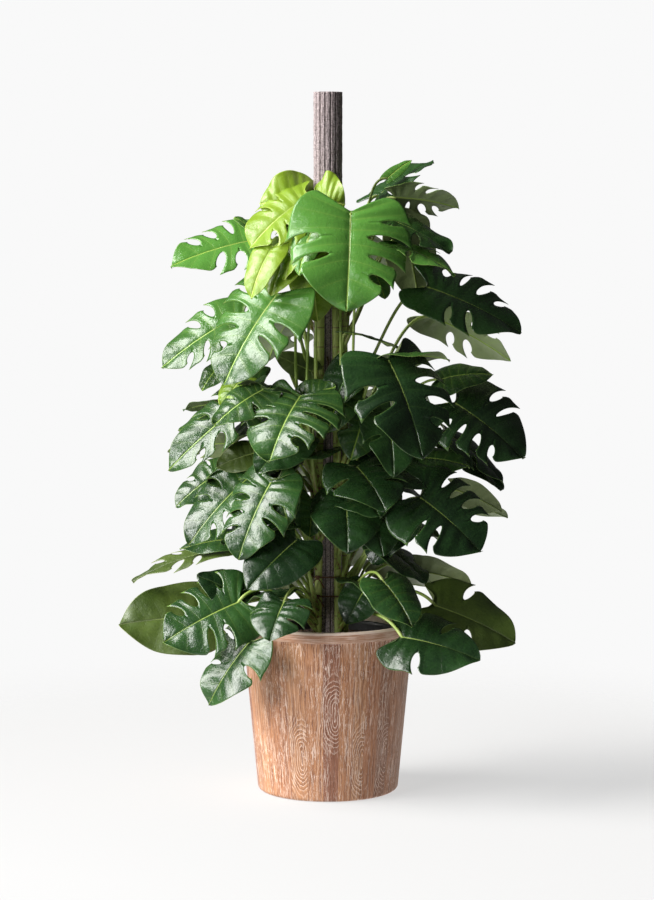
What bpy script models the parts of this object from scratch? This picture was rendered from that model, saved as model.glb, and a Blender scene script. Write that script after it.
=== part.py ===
"""Potted monstera on a support pole, in a tapered teak planter.

Metres, +Z up, origin on the floor under the middle of the planter, -Y is the front.
Leaf places are cylindrical: bearing in degrees from +X, reach from a ring, height above the soil.
"""

import math
from collections import namedtuple

import bmesh
import bpy
import numpy as np

CLEARANCE = 0.0004

PLANTER_HEIGHT = 0.375
PLANTER_TOP_DIAMETER = 0.380
PLANTER_BASE_DIAMETER = 0.308
PLANTER_WALL = 0.010
PLANTER_FLOOR = 0.014
PLANTER_LIP_ROUND = 0.003
PLANTER_FOOT_ROUND = 0.009
RIM_BAND_HEIGHT = 0.024
RIM_BAND_STEP = 0.0008

NURSERY_BELOW_RIM = 0.0256
NURSERY_TOP_GAP = 0.020
NURSERY_BASE_GAP = 0.019
NURSERY_WALL = 0.0022
NURSERY_LIP = 0.004
DRAIN_HOLE_DIAMETER = 0.014
DRAIN_HOLE_COUNT = 4
DRAIN_HOLE_INSET = 0.050

SOIL_BELOW_RIM = 0.040
SOIL_CROWN = 0.006
SOIL_SHOULDER = 0.0012

POLE_DIAMETER = 0.063
POLE_HEIGHT_ABOVE_SOIL = 1.190
POLE_DEPTH_IN_SOIL = 0.180
POLE_RIBS = 16
POLE_RIB_DEPTH = 0.003

STEM_DIAMETER = 0.018
STEM_DEPTH_IN_SOIL = 0.030
TWINE_DIAMETER = 0.003
TIE_HEIGHTS = (0.334, 0.140, 0.098)
ROOT_DIAMETER = 0.003

PETIOLE_DIAMETER = 0.0056
BLADE_THICKNESS = 0.0016

# What follows from the sizes above: the growing pot fits inside the planter by its gaps.
NURSERY_HEIGHT = PLANTER_HEIGHT - NURSERY_BELOW_RIM - PLANTER_FLOOR - CLEARANCE
NURSERY_TOP_RADIUS = PLANTER_TOP_DIAMETER / 2 - PLANTER_WALL - NURSERY_TOP_GAP
NURSERY_BASE_RADIUS = PLANTER_BASE_DIAMETER / 2 - PLANTER_WALL - NURSERY_BASE_GAP
SOIL_TOP = PLANTER_HEIGHT - SOIL_BELOW_RIM
POLE_RING = POLE_DIAMETER / 2
STEM_RING = POLE_RING + STEM_DIAMETER
RIM_RING = PLANTER_TOP_DIAMETER / 2
UP = np.array((0.0, 0.0, 1.0))

# A stem: bearing round the pole, how far it winds per metre of climb, and its height above the soil.
Stem = namedtuple("Stem", "bearing winding height")
STEMS = (
    Stem(238, 14, 0.87),
    Stem(303, -12, 0.80),
    Stem(25, 10, 0.80),
    Stem(120, -10, 0.70),
)

# An air root: bearing where it leaves the stem, bearing lower down, heights where it starts and ends.
AirRoot = namedtuple("AirRoot", "start_bearing end_bearing top bottom")
AIR_ROOTS = (AirRoot(268, 275, 0.62, 0.52), AirRoot(337, 345, 0.52, 0.38))

# A leaf: the ring its reach is counted from, the height where its stalk leaves the stem, the
# places (bearing, reach, height) of its blade's base and tip, its width, its roll (left edge up),
# the bend of its midrib, the fold of its halves, the curl of its edges (all degrees), and how many
# notches each side has.
Leaf = namedtuple("Leaf", "ring attach base tip width roll bend fold curl notches")
STEM, RIM = STEM_RING, RIM_RING
LEAVES = (
    Leaf(STEM, 0.83, (236, 0.027, 0.965), (209, 0.142, 0.855), 0.17, -25, 30, 8, -30, 2),
    Leaf(STEM, 0.72, (229, 0.042, 0.895), (227, 0.127, 0.755), 0.12, -10, 28, 8, -25, 1),
    Leaf(STEM, 0.74, (288, 0.107, 0.935), (280, 0.172, 0.725), 0.25, 0, 28, 8, -30, 2),
    Leaf(STEM, 0.75, (38, 0.087, 0.965), (29, 0.217, 1.045), 0.14, 10, 20, 10, -20, 1),
    Leaf(STEM, 0.715, (356, 0.092, 0.965), (4, 0.237, 0.94), 0.12, -35, 20, 10, -20, 1),
    Leaf(STEM, 0.7, (334, 0.087, 0.92), (346, 0.222, 0.845), 0.16, 15, 25, 8, -30, 1),
    Leaf(STEM, 0.62, (324, 0.132, 0.865), (332, 0.257, 0.8), 0.12, 5, 20, 10, -20, 1),
    Leaf(STEM, 0.66, (22, 0.137, 0.885), (24, 0.172, 0.73), 0.11, -60, 25, 10, -20, 0),
    Leaf(STEM, 0.51, (5, 0.167, 0.77), (0, 0.372, 0.67), 0.18, 38, 22, 8, -20, 2),
    Leaf(STEM, 0.42, (22, 0.192, 0.705), (8, 0.357, 0.605), 0.13, -40, 20, 10, -20, 1),
    Leaf(STEM, 0.36, (305, 0.172, 0.625), (306, 0.287, 0.42), 0.23, 8, 30, 6, -30, 2),
    Leaf(STEM, 0.21, (356, 0.227, 0.52), (352, 0.377, 0.4), 0.21, 40, 25, 8, -25, 2),
    Leaf(STEM, 0.16, (13, 0.222, 0.425), (7, 0.337, 0.32), 0.11, 25, 25, 8, -25, 1),
    Leaf(STEM, 0.185, (353, 0.142, 0.4), (355, 0.262, 0.38), 0.09, 30, 25, 10, -20, 0),
    Leaf(STEM, 0.08, (328, 0.182, 0.325), (334, 0.312, 0.21), 0.22, 35, 28, 8, -25, 2),
    Leaf(STEM, 0.118, (16, 0.242, 0.295), (11, 0.357, 0.255), 0.08, -35, 20, 10, -10, 0),
    Leaf(RIM, 0.07, (16, -0.01, 0.145), (7, 0.13, 0.11), 0.11, -40, 22, 10, -15, 0),
    Leaf(RIM, 0.03, (348, 0.045, 0.08), (349, 0.225, 0), 0.17, 42, 25, 6, -20, 1),
    Leaf(RIM, 0.02, (312, 0.04, 0.03), (327, 0.195, -0.015), 0.17, 30, 28, 6, -25, 1),
    Leaf(RIM, 0.052, (305, 0.015, 0.15), (308, 0.1, 0.06), 0.12, 10, 28, 10, -30, 0),
    Leaf(STEM, 0.19, (297, 0.087, 0.39), (299, 0.202, 0.305), 0.17, 8, 32, 8, -30, 1),
    Leaf(STEM, 0.16, (288, 0.077, 0.32), (281, 0.167, 0.215), 0.15, 0, 32, 8, -30, 0),
    Leaf(STEM, 0.225, (245, 0.027, 0.315), (248, 0.057, 0.235), 0.1, -20, 25, 30, -10, 0),
    Leaf(STEM, 0.118, (305, 0.102, 0.295), (302, 0.172, 0.205), 0.12, 0, 32, 6, -30, 0),
    Leaf(STEM, 0.068, (245, 0.107, 0.235), (229, 0.212, 0.135), 0.14, -35, 28, 10, -30, 0),
    Leaf(STEM, 0.17, (227, 0.127, 0.36), (222, 0.207, 0.195), 0.16, -20, 28, 8, -30, 1),
    Leaf(STEM, 0.2, (199, 0.132, 0.36), (195, 0.262, 0.215), 0.16, -35, 25, 8, -20, 1),
    Leaf(STEM, 0.115, (170, 0.187, 0.365), (175, 0.287, 0.285), 0.11, -40, 22, 8, -20, 0),
    Leaf(STEM, 0.3, (249, 0.112, 0.545), (243, 0.222, 0.41), 0.21, -5, 32, 8, -35, 2),
    Leaf(STEM, 0.55, (223, 0.097, 0.76), (212, 0.212, 0.565), 0.21, -28, 28, 8, -25, 2),
    Leaf(STEM, 0.47, (186, 0.132, 0.715), (183, 0.312, 0.595), 0.15, -40, 22, 8, -20, 1),
    Leaf(STEM, 0.66, (176, 0.092, 0.875), (183, 0.292, 0.815), 0.16, -38, 22, 12, -25, 2),
    Leaf(STEM, 0.25, (167, 0.167, 0.51), (171, 0.282, 0.45), 0.11, -20, 22, 8, -25, 0),
    Leaf(STEM, 0.17, (154, 0.177, 0.42), (164, 0.322, 0.4), 0.1, 35, 22, 8, -20, 0),
    Leaf(STEM, 0.36, (199, 0.107, 0.545), (190, 0.302, 0.375), 0.14, -45, 22, 8, -20, 1),
    Leaf(STEM, 0.04, (175, 0.172, 0.195), (177, 0.382, 0.12), 0.11, -12, 25, 10, -20, 1),
    Leaf(RIM, 0.02, (176, 0.08, 0.045), (181, 0.27, 0.03), 0.17, -62, 18, 4, -15, 0),
    Leaf(RIM, 0.02, (215, 0.04, 0.1), (204, 0.195, 0.015), 0.18, -45, 28, 6, -25, 2),
    Leaf(RIM, 0.052, (245, 0.03, 0.11), (245, 0.1, 0.035), 0.13, -5, 28, 10, -35, 0),
    Leaf(RIM, 0.036, (225, 0.045, 0.02), (213, 0.115, -0.12), 0.15, -25, 25, 6, -20, 1),
    Leaf(STEM, 0.43, (301, 0.057, 0.61), (275, 0.082, 0.52), 0.1, 0, 28, 8, -25, 0),
    Leaf(STEM, 0.3, (326, 0.102, 0.51), (306, 0.187, 0.375), 0.13, 0, 28, 8, -25, 1),
    Leaf(STEM, 0.64, (67, 0.102, 0.865), (68, 0.307, 0.765), 0.2, 0, 30, 8, -25, 2),
    Leaf(STEM, 0.48, (115, 0.117, 0.705), (111, 0.337, 0.585), 0.21, 0, 30, 8, -25, 2),
    Leaf(STEM, 0.37, (56, 0.132, 0.565), (65, 0.347, 0.445), 0.2, 0, 30, 8, -25, 2),
    Leaf(STEM, 0.2, (108, 0.142, 0.405), (103, 0.362, 0.265), 0.2, 0, 30, 8, -25, 2),
)


def clear_scene():
    for old in list(bpy.data.objects):
        bpy.data.objects.remove(old, do_unlink=True)


def new_collection(name):
    collection = bpy.data.collections.new(name)
    bpy.context.scene.collection.children.link(collection)
    return collection


def new_material(name, colour, roughness, metallic=0.0):
    material = bpy.data.materials.new(name)
    material.use_nodes = True
    shader = material.node_tree.nodes["Principled BSDF"]
    shader.inputs["Base Color"].default_value = (*colour, 1.0)
    shader.inputs["Roughness"].default_value = roughness
    shader.inputs["Metallic"].default_value = metallic
    return material


def add_object(name, data, collection, material=None, place=(0.0, 0.0, 0.0)):
    made = bpy.data.objects.new(name, data)
    made.location = place
    collection.objects.link(made)
    if material:
        data.materials.append(material)
    return made


def smooth(mesh, degrees=35.0):
    mesh.shade_smooth()
    mesh.set_sharp_from_angle(angle=math.radians(degrees))


def compass(bearing):
    """The level direction at a bearing."""
    turn = math.radians(bearing)
    return np.array((math.cos(turn), math.sin(turn), 0.0))


def place(bearing, reach, height, ring):
    """A point at a bearing, its reach outside a ring, and its height above the soil."""
    return compass(bearing) * (ring + reach) + UP * (SOIL_TOP + height)


def unit(vector):
    return vector / np.linalg.norm(vector)


def arc(centre, radius, start, end, steps):
    """Points of an arc in the profile plane, as (x, z)."""
    turns = np.radians(np.linspace(start, end, steps + 1))
    return [(centre[0] + radius * math.cos(t), centre[1] + radius * math.sin(t)) for t in turns]


def turned(name, profile, steps, collection, material):
    """A profile of (x, z) points, turned about the Z axis."""
    mesh = bpy.data.meshes.new(name)
    points = [(x, 0.0, z) for x, z in profile]
    mesh.from_pydata(points, [(i, i + 1) for i in range(len(points) - 1)], [])
    made = add_object(name, mesh, collection, material)
    screw = made.modifiers.new("turn", "SCREW")
    screw.steps = screw.render_steps = steps
    screw.use_merge_vertices = True
    screw.merge_threshold = 0.00005
    screw.use_smooth_shade = True
    return made


def tube(name, points, diameter, collection, material, sides=8, closed=False):
    """A round tube through the points, with filled ends."""
    curve = bpy.data.curves.new(name, "CURVE")
    curve.dimensions = "3D"
    curve.bevel_depth = diameter / 2
    curve.bevel_resolution = (sides - 4) // 2
    curve.use_fill_caps = not closed
    spline = curve.splines.new("POLY")
    spline.points.add(len(points) - 1)
    for point, at in zip(spline.points, points):
        point.co = (*at, 1.0)
    spline.use_cyclic_u = closed
    return add_object(name, curve, collection, material)


def as_mesh(curve_object):
    """The curve object replaced by a closed mesh of the same name and place."""
    graph = bpy.context.evaluated_depsgraph_get()
    mesh = bpy.data.meshes.new_from_object(curve_object.evaluated_get(graph))
    work = bmesh.new()
    work.from_mesh(mesh)
    bmesh.ops.remove_doubles(work, verts=work.verts, dist=0.00001)
    bmesh.ops.recalc_face_normals(work, faces=work.faces)
    work.to_mesh(mesh)
    work.free()
    name, matrix = curve_object.name, curve_object.matrix_world.copy()
    collection = curve_object.users_collection[0]
    bpy.data.objects.remove(curve_object, do_unlink=True)
    made = bpy.data.objects.new(name, mesh)
    made.matrix_world = matrix
    collection.objects.link(made)
    return made


def cylinder(name, radius, bottom, top, segments, collection, material=None, at=(0.0, 0.0)):
    work = bmesh.new()
    bmesh.ops.create_cone(
        work, cap_ends=True, segments=segments, radius1=radius, radius2=radius, depth=top - bottom
    )
    mesh = bpy.data.meshes.new(name)
    work.to_mesh(mesh)
    work.free()
    return add_object(name, mesh, collection, material, (*at, (top + bottom) / 2))


def hide_helper(helper):
    helper.hide_render = True
    helper.display_type = "WIRE"


def boolean(target, helper, operation):
    hide_helper(helper)
    modifier = target.modifiers.new(helper.name, "BOOLEAN")
    modifier.operation = operation
    modifier.object = helper


def bezier(start, towards, before, end, count):
    """Points along the cubic curve that leaves start for towards, and comes to end from before."""
    t = np.linspace(0.0, 1.0, count)[:, None]
    return (
        (1 - t) ** 3 * start
        + 3 * (1 - t) ** 2 * t * towards
        + 3 * (1 - t) * t**2 * before
        + t**3 * end
    )


def planter_radius(height):
    """The outer radius of the planter's straight taper."""
    share = height / PLANTER_HEIGHT
    return (PLANTER_BASE_DIAMETER * (1 - share) + PLANTER_TOP_DIAMETER * share) / 2


def make_planter(parts, material):
    top, foot = PLANTER_TOP_DIAMETER / 2, PLANTER_FOOT_ROUND
    lip = PLANTER_LIP_ROUND
    band = PLANTER_HEIGHT - RIM_BAND_HEIGHT
    inside = top - PLANTER_WALL
    profile = [(0.0, PLANTER_FLOOR), (planter_radius(PLANTER_FLOOR) - PLANTER_WALL, PLANTER_FLOOR)]
    profile += arc((inside + lip, PLANTER_HEIGHT - lip), lip, 180, 90, 2)
    profile += arc((top - lip, PLANTER_HEIGHT - lip), lip, 90, 0, 2)
    profile += [
        (planter_radius(band), band),
        (planter_radius(band) - RIM_BAND_STEP, band - RIM_BAND_STEP),
        (planter_radius(foot), foot),
    ]
    profile += arc((planter_radius(foot) - foot, foot), foot, -30, -90, 2)
    profile.append((0.0, 0.0))
    return turned("planter", profile, 48, parts, material)


def nursery_radius(height):
    """The outer radius of the growing pot at a height above its base."""
    share = height / NURSERY_HEIGHT
    return NURSERY_BASE_RADIUS * (1 - share) + NURSERY_TOP_RADIUS * share


def make_nursery_pot(parts, cutters, material):
    base = PLANTER_FLOOR + CLEARANCE
    top = base + NURSERY_HEIGHT
    wall, lip = NURSERY_WALL, NURSERY_LIP
    rim = nursery_radius(NURSERY_HEIGHT)
    profile = [
        (0.0, base + wall),
        (nursery_radius(wall) - wall, base + wall),
        (rim - wall, top),
        (rim + lip, top),
        (rim + lip, top - 2 * lip),
        (nursery_radius(NURSERY_HEIGHT - 2 * lip), top - 2 * lip),
        (nursery_radius(0.0), base),
        (0.0, base),
    ]
    pot = turned("nursery_pot", profile, 36, parts, material)
    for index in range(DRAIN_HOLE_COUNT):
        at = compass(360 / DRAIN_HOLE_COUNT * (index + 0.5)) * (NURSERY_BASE_RADIUS - DRAIN_HOLE_INSET)
        drill = cylinder(
            f"drain_drill_{index + 1}", DRAIN_HOLE_DIAMETER / 2, base - wall, base + 3 * wall, 8,
            cutters, at=(at[0], at[1]),
        )
        boolean(pot, drill, "DIFFERENCE")
    return pot


def make_potting_soil(parts, cutters, material):
    bottom = PLANTER_FLOOR + CLEARANCE + NURSERY_WALL + CLEARANCE
    rise = SOIL_TOP - SOIL_CROWN - (PLANTER_FLOOR + CLEARANCE)
    gap = NURSERY_WALL + 2 * CLEARANCE
    profile = [
        (0.0, SOIL_TOP),
        (nursery_radius(rise) / 2, SOIL_TOP - SOIL_SHOULDER),
        (nursery_radius(rise) - gap, SOIL_TOP - SOIL_CROWN),
        (nursery_radius(NURSERY_WALL) - gap, bottom),
        (0.0, bottom),
    ]
    soil = turned("potting_soil", profile, 36, parts, material)
    above = SOIL_TOP + 0.02
    socket = cylinder(
        "pole_socket", POLE_RING + CLEARANCE, SOIL_TOP - POLE_DEPTH_IN_SOIL - CLEARANCE, above,
        32, cutters,
    )
    boolean(soil, socket, "DIFFERENCE")
    for index, stem in enumerate(STEMS):
        middle = stem_centre(stem, 0.0)
        root = cylinder(
            f"stem_socket_{index + 1}", STEM_DIAMETER / 2 + 3 * CLEARANCE,
            SOIL_TOP - STEM_DEPTH_IN_SOIL - CLEARANCE, above, 12, cutters,
            at=(middle[0], middle[1]),
        )
        boolean(soil, root, "DIFFERENCE")
    return soil


def make_support_pole(parts, material):
    """A round pole whose skin stands in lengthwise ribs: every other edge is pulled in."""
    pole = cylinder(
        "support_pole", POLE_RING, SOIL_TOP - POLE_DEPTH_IN_SOIL,
        SOIL_TOP + POLE_HEIGHT_ABOVE_SOIL, 2 * POLE_RIBS, parts, material,
    )
    valley = (POLE_RING - POLE_RIB_DEPTH) / POLE_RING
    step = math.pi / POLE_RIBS
    for vertex in pole.data.vertices:
        turn = math.atan2(vertex.co.y, vertex.co.x) % (2 * math.pi)
        if round(turn / step) % 2:
            vertex.co.x *= valley
            vertex.co.y *= valley
    smooth(pole.data, 20)
    return pole


def stem_centre(stem, height):
    """The middle of a stem at a height above the soil, as it winds up the outside of the pole."""
    bearing = stem.bearing + stem.winding * height
    reach = POLE_RING + STEM_DIAMETER / 2 + CLEARANCE
    return compass(bearing) * reach + UP * (SOIL_TOP + height)


def make_stems(parts, material):
    for index, stem in enumerate(STEMS):
        heights = np.linspace(-STEM_DEPTH_IN_SOIL, stem.height, 7)
        points = [stem_centre(stem, height) for height in heights]
        tube(f"stem_{index + 1}", points, STEM_DIAMETER, parts, material, sides=10)


def make_twine_ties(parts, material):
    """Each loop is pulled tight round the pole and the stems, and runs straight between them."""
    for index, height in enumerate(TIE_HEIGHTS):
        rounds = [(np.zeros(3), POLE_RING)]
        rounds += [
            (stem_centre(stem, height) * (1, 1, 0), STEM_DIAMETER / 2)
            for stem in STEMS if stem.height > height
        ]
        points = []
        for bearing in range(0, 360, 10):
            out = compass(bearing)
            middle, radius = max(rounds, key=lambda one: one[0] @ out + one[1])
            reach = radius + CLEARANCE * 2 + TWINE_DIAMETER / 2
            points.append(middle + out * reach + UP * (SOIL_TOP + height))
        tube(f"twine_tie_{index + 1}", points, TWINE_DIAMETER, parts, material, 6, closed=True)


def make_air_roots(parts, material):
    for index, root in enumerate(AIR_ROOTS):
        lift = ROOT_DIAMETER / 2 + 2 * CLEARANCE
        share = np.linspace(0.0, 1.0, 8)
        bearings = root.start_bearing + (root.end_bearing - root.start_bearing) * share**0.5
        heights = root.top + (root.bottom - root.top) * share
        reaches = lift + 0.010 * np.sin(math.pi * share)
        points = [
            place(bearing, reach, height, POLE_RING)
            for bearing, reach, height in zip(bearings, reaches, heights)
        ]
        tube(f"aerial_root_{index + 1}", points, ROOT_DIAMETER, parts, material, 6)


def blade_axes(leaf):
    """The blade's base, the direction to its tip, its left side, its upper face and its length."""
    base = place(*leaf.base, leaf.ring)
    tip = place(*leaf.tip, leaf.ring)
    along = unit(tip - base)
    outward = unit((base + tip) * (1, 1, 0))
    lean = UP + 0.35 * outward
    face = unit(lean - (lean @ along) * along)
    side = np.cross(face, along)
    turn = math.radians(leaf.roll)
    face, side = (
        face * math.cos(turn) - side * math.sin(turn),
        side * math.cos(turn) + face * math.sin(turn),
    )
    return base, along, side, face, np.linalg.norm(tip - base)


def blade_point(leaf, axes, u, v):
    """The point of the leaf's middle surface at u lengths along the midrib and v widths to the left.

    The midrib is a circular arc from base to tip. Each half folds up by the fold angle and then
    curls with its distance from the midrib.
    """
    base, along, side, face, length = axes
    bend = math.radians(leaf.bend)
    radius = length / (2 * math.sin(bend / 2))
    turn = bend * (u - 0.5)
    midrib = (
        base
        + along * (length / 2 + radius * math.sin(turn))
        + face * radius * (math.cos(turn) - math.cos(bend / 2))
    )
    upper = along * math.sin(turn) + face * math.cos(turn)
    slope = math.radians(leaf.fold + leaf.curl * abs(v))
    across = v * leaf.width
    return midrib + side * across * math.cos(slope) + upper * abs(across) * math.sin(slope)


def margin(a):
    """The outline as (u, v), a running from the cleft at the base to 1 at the tip.

    It is an oval that narrows to a drawn-out tip, with a deep cleft where the stalk joins.
    """
    turn = math.pi * a
    u = 0.33 - 0.59 * math.cos(turn) + 0.26 * math.exp(-((a / 0.07) ** 2)) + 0.08 * a**10
    v = 0.5 * math.sin(turn) ** 0.8 * (1 - 0.35 * a**4)
    return u, v


def vein_root(a):
    """How far along the midrib the vein to margin point a starts."""
    return max(0.0, (a - 0.12) / 0.88) ** 1.5


NOTCHES = {0: (), 1: (0.46,), 2: (0.36, 0.62)}
NOTCH_HALF_WIDTH = 0.025
NOTCH_DEPTH = 0.5
OUTLINE = (0.0, 0.08, 0.20, 0.50, 0.78, 0.92, 1.0)


def make_blade(leaf, axes, name, collection, material):
    """A grid whose columns are veins and whose rows run from the midrib to the margin."""
    notches = NOTCHES[leaf.notches]
    sides = [n + d for n in notches for d in (-NOTCH_HALF_WIDTH, 0.0, NOTCH_HALF_WIDTH)]
    columns = sorted({*OUTLINE, *sides} - ({0.5} if leaf.notches == 1 else set()))
    half = [(a, 1) for a in columns]
    columns = half + [(a, -1) for a in reversed(columns[:-1])]
    rows = (0.0, 0.55, 1.0)
    work = bmesh.new()
    bmesh.ops.create_grid(
        work, x_segments=len(columns) - 1, y_segments=len(rows) - 1, size=1.0
    )
    base = axes[0]
    for vertex in work.verts:
        a, hand = columns[round((vertex.co.x + 1) / 2 * (len(columns) - 1))]
        t = rows[round((vertex.co.y + 1) / 2 * (len(rows) - 1))]
        if a in notches:
            t *= 1 - NOTCH_DEPTH
        edge_u, edge_v = margin(a)
        root = vein_root(a)
        u = root + (edge_u - root) * t**1.3
        vertex.co = blade_point(leaf, axes, u, hand * edge_v * t) - base
    bmesh.ops.remove_doubles(work, verts=work.verts, dist=0.0002)
    mesh = bpy.data.meshes.new(name)
    work.to_mesh(mesh)
    work.free()
    blade = add_object(name, mesh, collection, material, base)
    solid = blade.modifiers.new("thickness", "SOLIDIFY")
    solid.thickness = BLADE_THICKNESS
    solid.offset = 0.0
    smooth(mesh, 60)
    return blade


# How a stalk leaves the stem and comes to the blade, as shares of the span between its ends.
STALK_REACH = 0.25
STALK_RISE = 0.35
STALK_ARCH = 0.04
RIM_STALK_ARCH = 0.30


def petiole_points(leaf, axes):
    """The stalk leaves the nearest stem, rises, and comes to the blade's base from inside."""
    base, _, _, face, _ = axes
    bearing = leaf.base[0]

    def turn_to(stem):
        at = stem.bearing + stem.winding * leaf.attach
        return abs((at - bearing + 180) % 360 - 180)

    stem = min((s for s in STEMS if s.height > leaf.attach + 0.01), key=turn_to)
    middle = stem_centre(stem, leaf.attach)
    outward = unit((base - middle) * (1, 1, 0))
    start = middle + outward * (STEM_DIAMETER / 2 + PETIOLE_DIAMETER / 2 + 2 * CLEARANCE)
    end = blade_point(leaf, axes, 0.03, 0.0) - face * BLADE_THICKNESS / 2
    span = np.linalg.norm(end - start)
    arch = RIM_STALK_ARCH if leaf.ring == RIM else STALK_ARCH
    towards = start + (outward * STALK_REACH + UP * STALK_RISE) * span
    before = end - outward * STALK_REACH * span + UP * arch * span
    return bezier(start, towards, before, end, 8)


def make_leaves(parts, cutters, material):
    for index, leaf in enumerate(LEAVES):
        name = f"leaf_{index + 1:02d}"
        axes = blade_axes(leaf)
        blade = make_blade(leaf, axes, name, parts, material)
        stalk = tube(
            f"petiole_{index + 1:02d}", petiole_points(leaf, axes), PETIOLE_DIAMETER, cutters,
            None, 6,
        )
        boolean(blade, as_mesh(stalk), "UNION")


def main():
    clear_scene()
    parts = new_collection("potted_monstera")
    cutters = new_collection("cutters")
    teak = new_material("whitewashed_teak", (0.46, 0.30, 0.20), 0.62)
    black_plastic = new_material("black_plastic", (0.020, 0.020, 0.022), 0.45)
    soil = new_material("potting_mix", (0.030, 0.021, 0.015), 0.95)
    fibre = new_material("pole_fibre", (0.10, 0.075, 0.062), 0.90)
    stem_bark = new_material("stem_green", (0.16, 0.22, 0.07), 0.55)
    twine = new_material("brown_twine", (0.22, 0.12, 0.065), 0.90)
    root = new_material("root_brown", (0.17, 0.085, 0.045), 0.80)
    leaf_green = new_material("leaf_green", (0.055, 0.16, 0.045), 0.35)
    make_planter(parts, teak)
    make_nursery_pot(parts, cutters, black_plastic)
    make_potting_soil(parts, cutters, soil)
    make_support_pole(parts, fibre)
    make_stems(parts, stem_bark)
    make_twine_ties(parts, twine)
    make_air_roots(parts, root)
    make_leaves(parts, cutters, leaf_green)


main()
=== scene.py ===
import math
from collections import namedtuple
from functools import partial, reduce

import bmesh
import bpy
import mathutils
import numpy as np
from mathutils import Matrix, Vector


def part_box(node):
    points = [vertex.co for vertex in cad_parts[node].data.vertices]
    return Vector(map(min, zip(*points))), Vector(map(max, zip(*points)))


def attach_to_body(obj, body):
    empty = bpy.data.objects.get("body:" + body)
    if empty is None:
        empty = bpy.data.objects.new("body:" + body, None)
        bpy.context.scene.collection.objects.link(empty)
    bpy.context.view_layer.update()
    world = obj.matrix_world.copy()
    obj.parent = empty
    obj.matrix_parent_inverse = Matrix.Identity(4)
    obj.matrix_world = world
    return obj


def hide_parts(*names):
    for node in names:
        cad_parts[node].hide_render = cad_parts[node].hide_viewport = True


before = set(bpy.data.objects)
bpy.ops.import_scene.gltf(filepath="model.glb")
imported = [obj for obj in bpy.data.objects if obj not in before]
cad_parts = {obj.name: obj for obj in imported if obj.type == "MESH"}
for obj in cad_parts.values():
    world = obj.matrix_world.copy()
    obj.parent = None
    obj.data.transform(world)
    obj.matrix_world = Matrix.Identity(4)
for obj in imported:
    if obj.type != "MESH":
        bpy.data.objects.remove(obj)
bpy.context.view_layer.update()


# ---- The planter -------------------------------------------------------------------------------
# A tapered tub glued up from upright teak staves, turned, brushed so that the soft grain sinks,
# rubbed with white wax that stays in the pores, and capped with a smooth brown rim band.
planter_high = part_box("planter")[1]
PLANTER_HEIGHT = planter_high.z
PLANTER_TOP_RADIUS = planter_high.x
PLANTER_BASE_RADIUS = 0.154
PLANTER_WALL = 0.010
PLANTER_FLOOR = 0.014
LIP_ROUND = 0.003
FOOT_ROUND = 0.009
BAND_HEIGHT = 0.024
BAND_STEP = 0.0008
PLANTER_COLUMNS = 240
PLANTER_SPACING = 0.006
# The teak: staves and ring lines to a metre, how far a ring figure reaches up from its heart, how
# much narrower than tall it is, the height its heart may lie at, and how the lines stray.
STAVES = 26.0
RINGS = 78.0
RING_REACH = 0.10
RING_SQUEEZE = 2.6
HEART_RISE = 0.42
RING_SWAY = 0.020
RING_WOBBLE = 0.020
GRAIN_WEAVE = 0.010
TEAK_TAN = (0.45, 0.195, 0.092)
TEAK_GOLD = (0.54, 0.270, 0.130)
TEAK_RED = (0.23, 0.080, 0.050)
TEAK_LINE = (0.150, 0.050, 0.024)
WHITE_WAX = (0.93, 0.76, 0.65)
BAND_BROWN = (0.42, 0.19, 0.095)
LIP_PALE = (0.90, 0.72, 0.60)

# A patch is a grid of points (rows, columns, 3) with its UVs (rows, columns, 2), the index of its
# finish in the piece's materials, and named values, each (rows, columns).
Patch = namedtuple("Patch", "points uv finish values")
MERGE = 0.00002


def grid_quads(rows, columns):
    """The corners of each square of a grid, as indices into its points taken row by row."""
    row, column = np.meshgrid(np.arange(rows - 1), np.arange(columns - 1), indexing="ij")
    first = (row * columns + column).ravel()
    return np.stack([first, first + 1, first + columns + 1, first + columns], axis=1)


def placed(name, data):
    """A new object in the scene."""
    made = bpy.data.objects.new(name, data)
    bpy.context.scene.collection.objects.link(made)
    return made


def sewn(name, patches, materials, body="root", outward=True):
    """One piece sewn from patches: points that coincide become one, and UVs stay with each face."""
    sizes = [patch.points.shape[0] * patch.points.shape[1] for patch in patches]
    starts = np.concatenate([[0], np.cumsum(sizes)[:-1]])
    quads = [grid_quads(*patch.points.shape[:2]) + start for patch, start in zip(patches, starts)]
    points = np.concatenate([patch.points.reshape(-1, 3) for patch in patches])
    corners = np.concatenate(quads)
    uv = np.concatenate([patch.uv.reshape(-1, 2) for patch in patches])[corners.ravel()]
    finish = np.concatenate([np.full(len(q), p.finish) for p, q in zip(patches, quads)])
    mesh = bpy.data.meshes.new(name)
    mesh.from_pydata(points.tolist(), [], corners.tolist())
    mesh.uv_layers.new(name="own").data.foreach_set("uv", uv.astype(np.float32).ravel())
    mesh.polygons.foreach_set("material_index", finish.astype(np.int32))
    for key in patches[0].values:
        layer = mesh.attributes.new(key, "FLOAT", "POINT")
        value = np.concatenate([patch.values[key].ravel() for patch in patches])
        layer.data.foreach_set("value", value.astype(np.float32))
    work = bmesh.new()
    work.from_mesh(mesh)
    bmesh.ops.remove_doubles(work, verts=work.verts, dist=MERGE)
    if outward:
        bmesh.ops.recalc_face_normals(work, faces=work.faces)
    work.to_mesh(mesh)
    work.free()
    mesh.shade_smooth()
    for material in materials:
        mesh.materials.append(material)
    piece = placed(name, mesh)
    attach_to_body(piece, body)
    return piece


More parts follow.
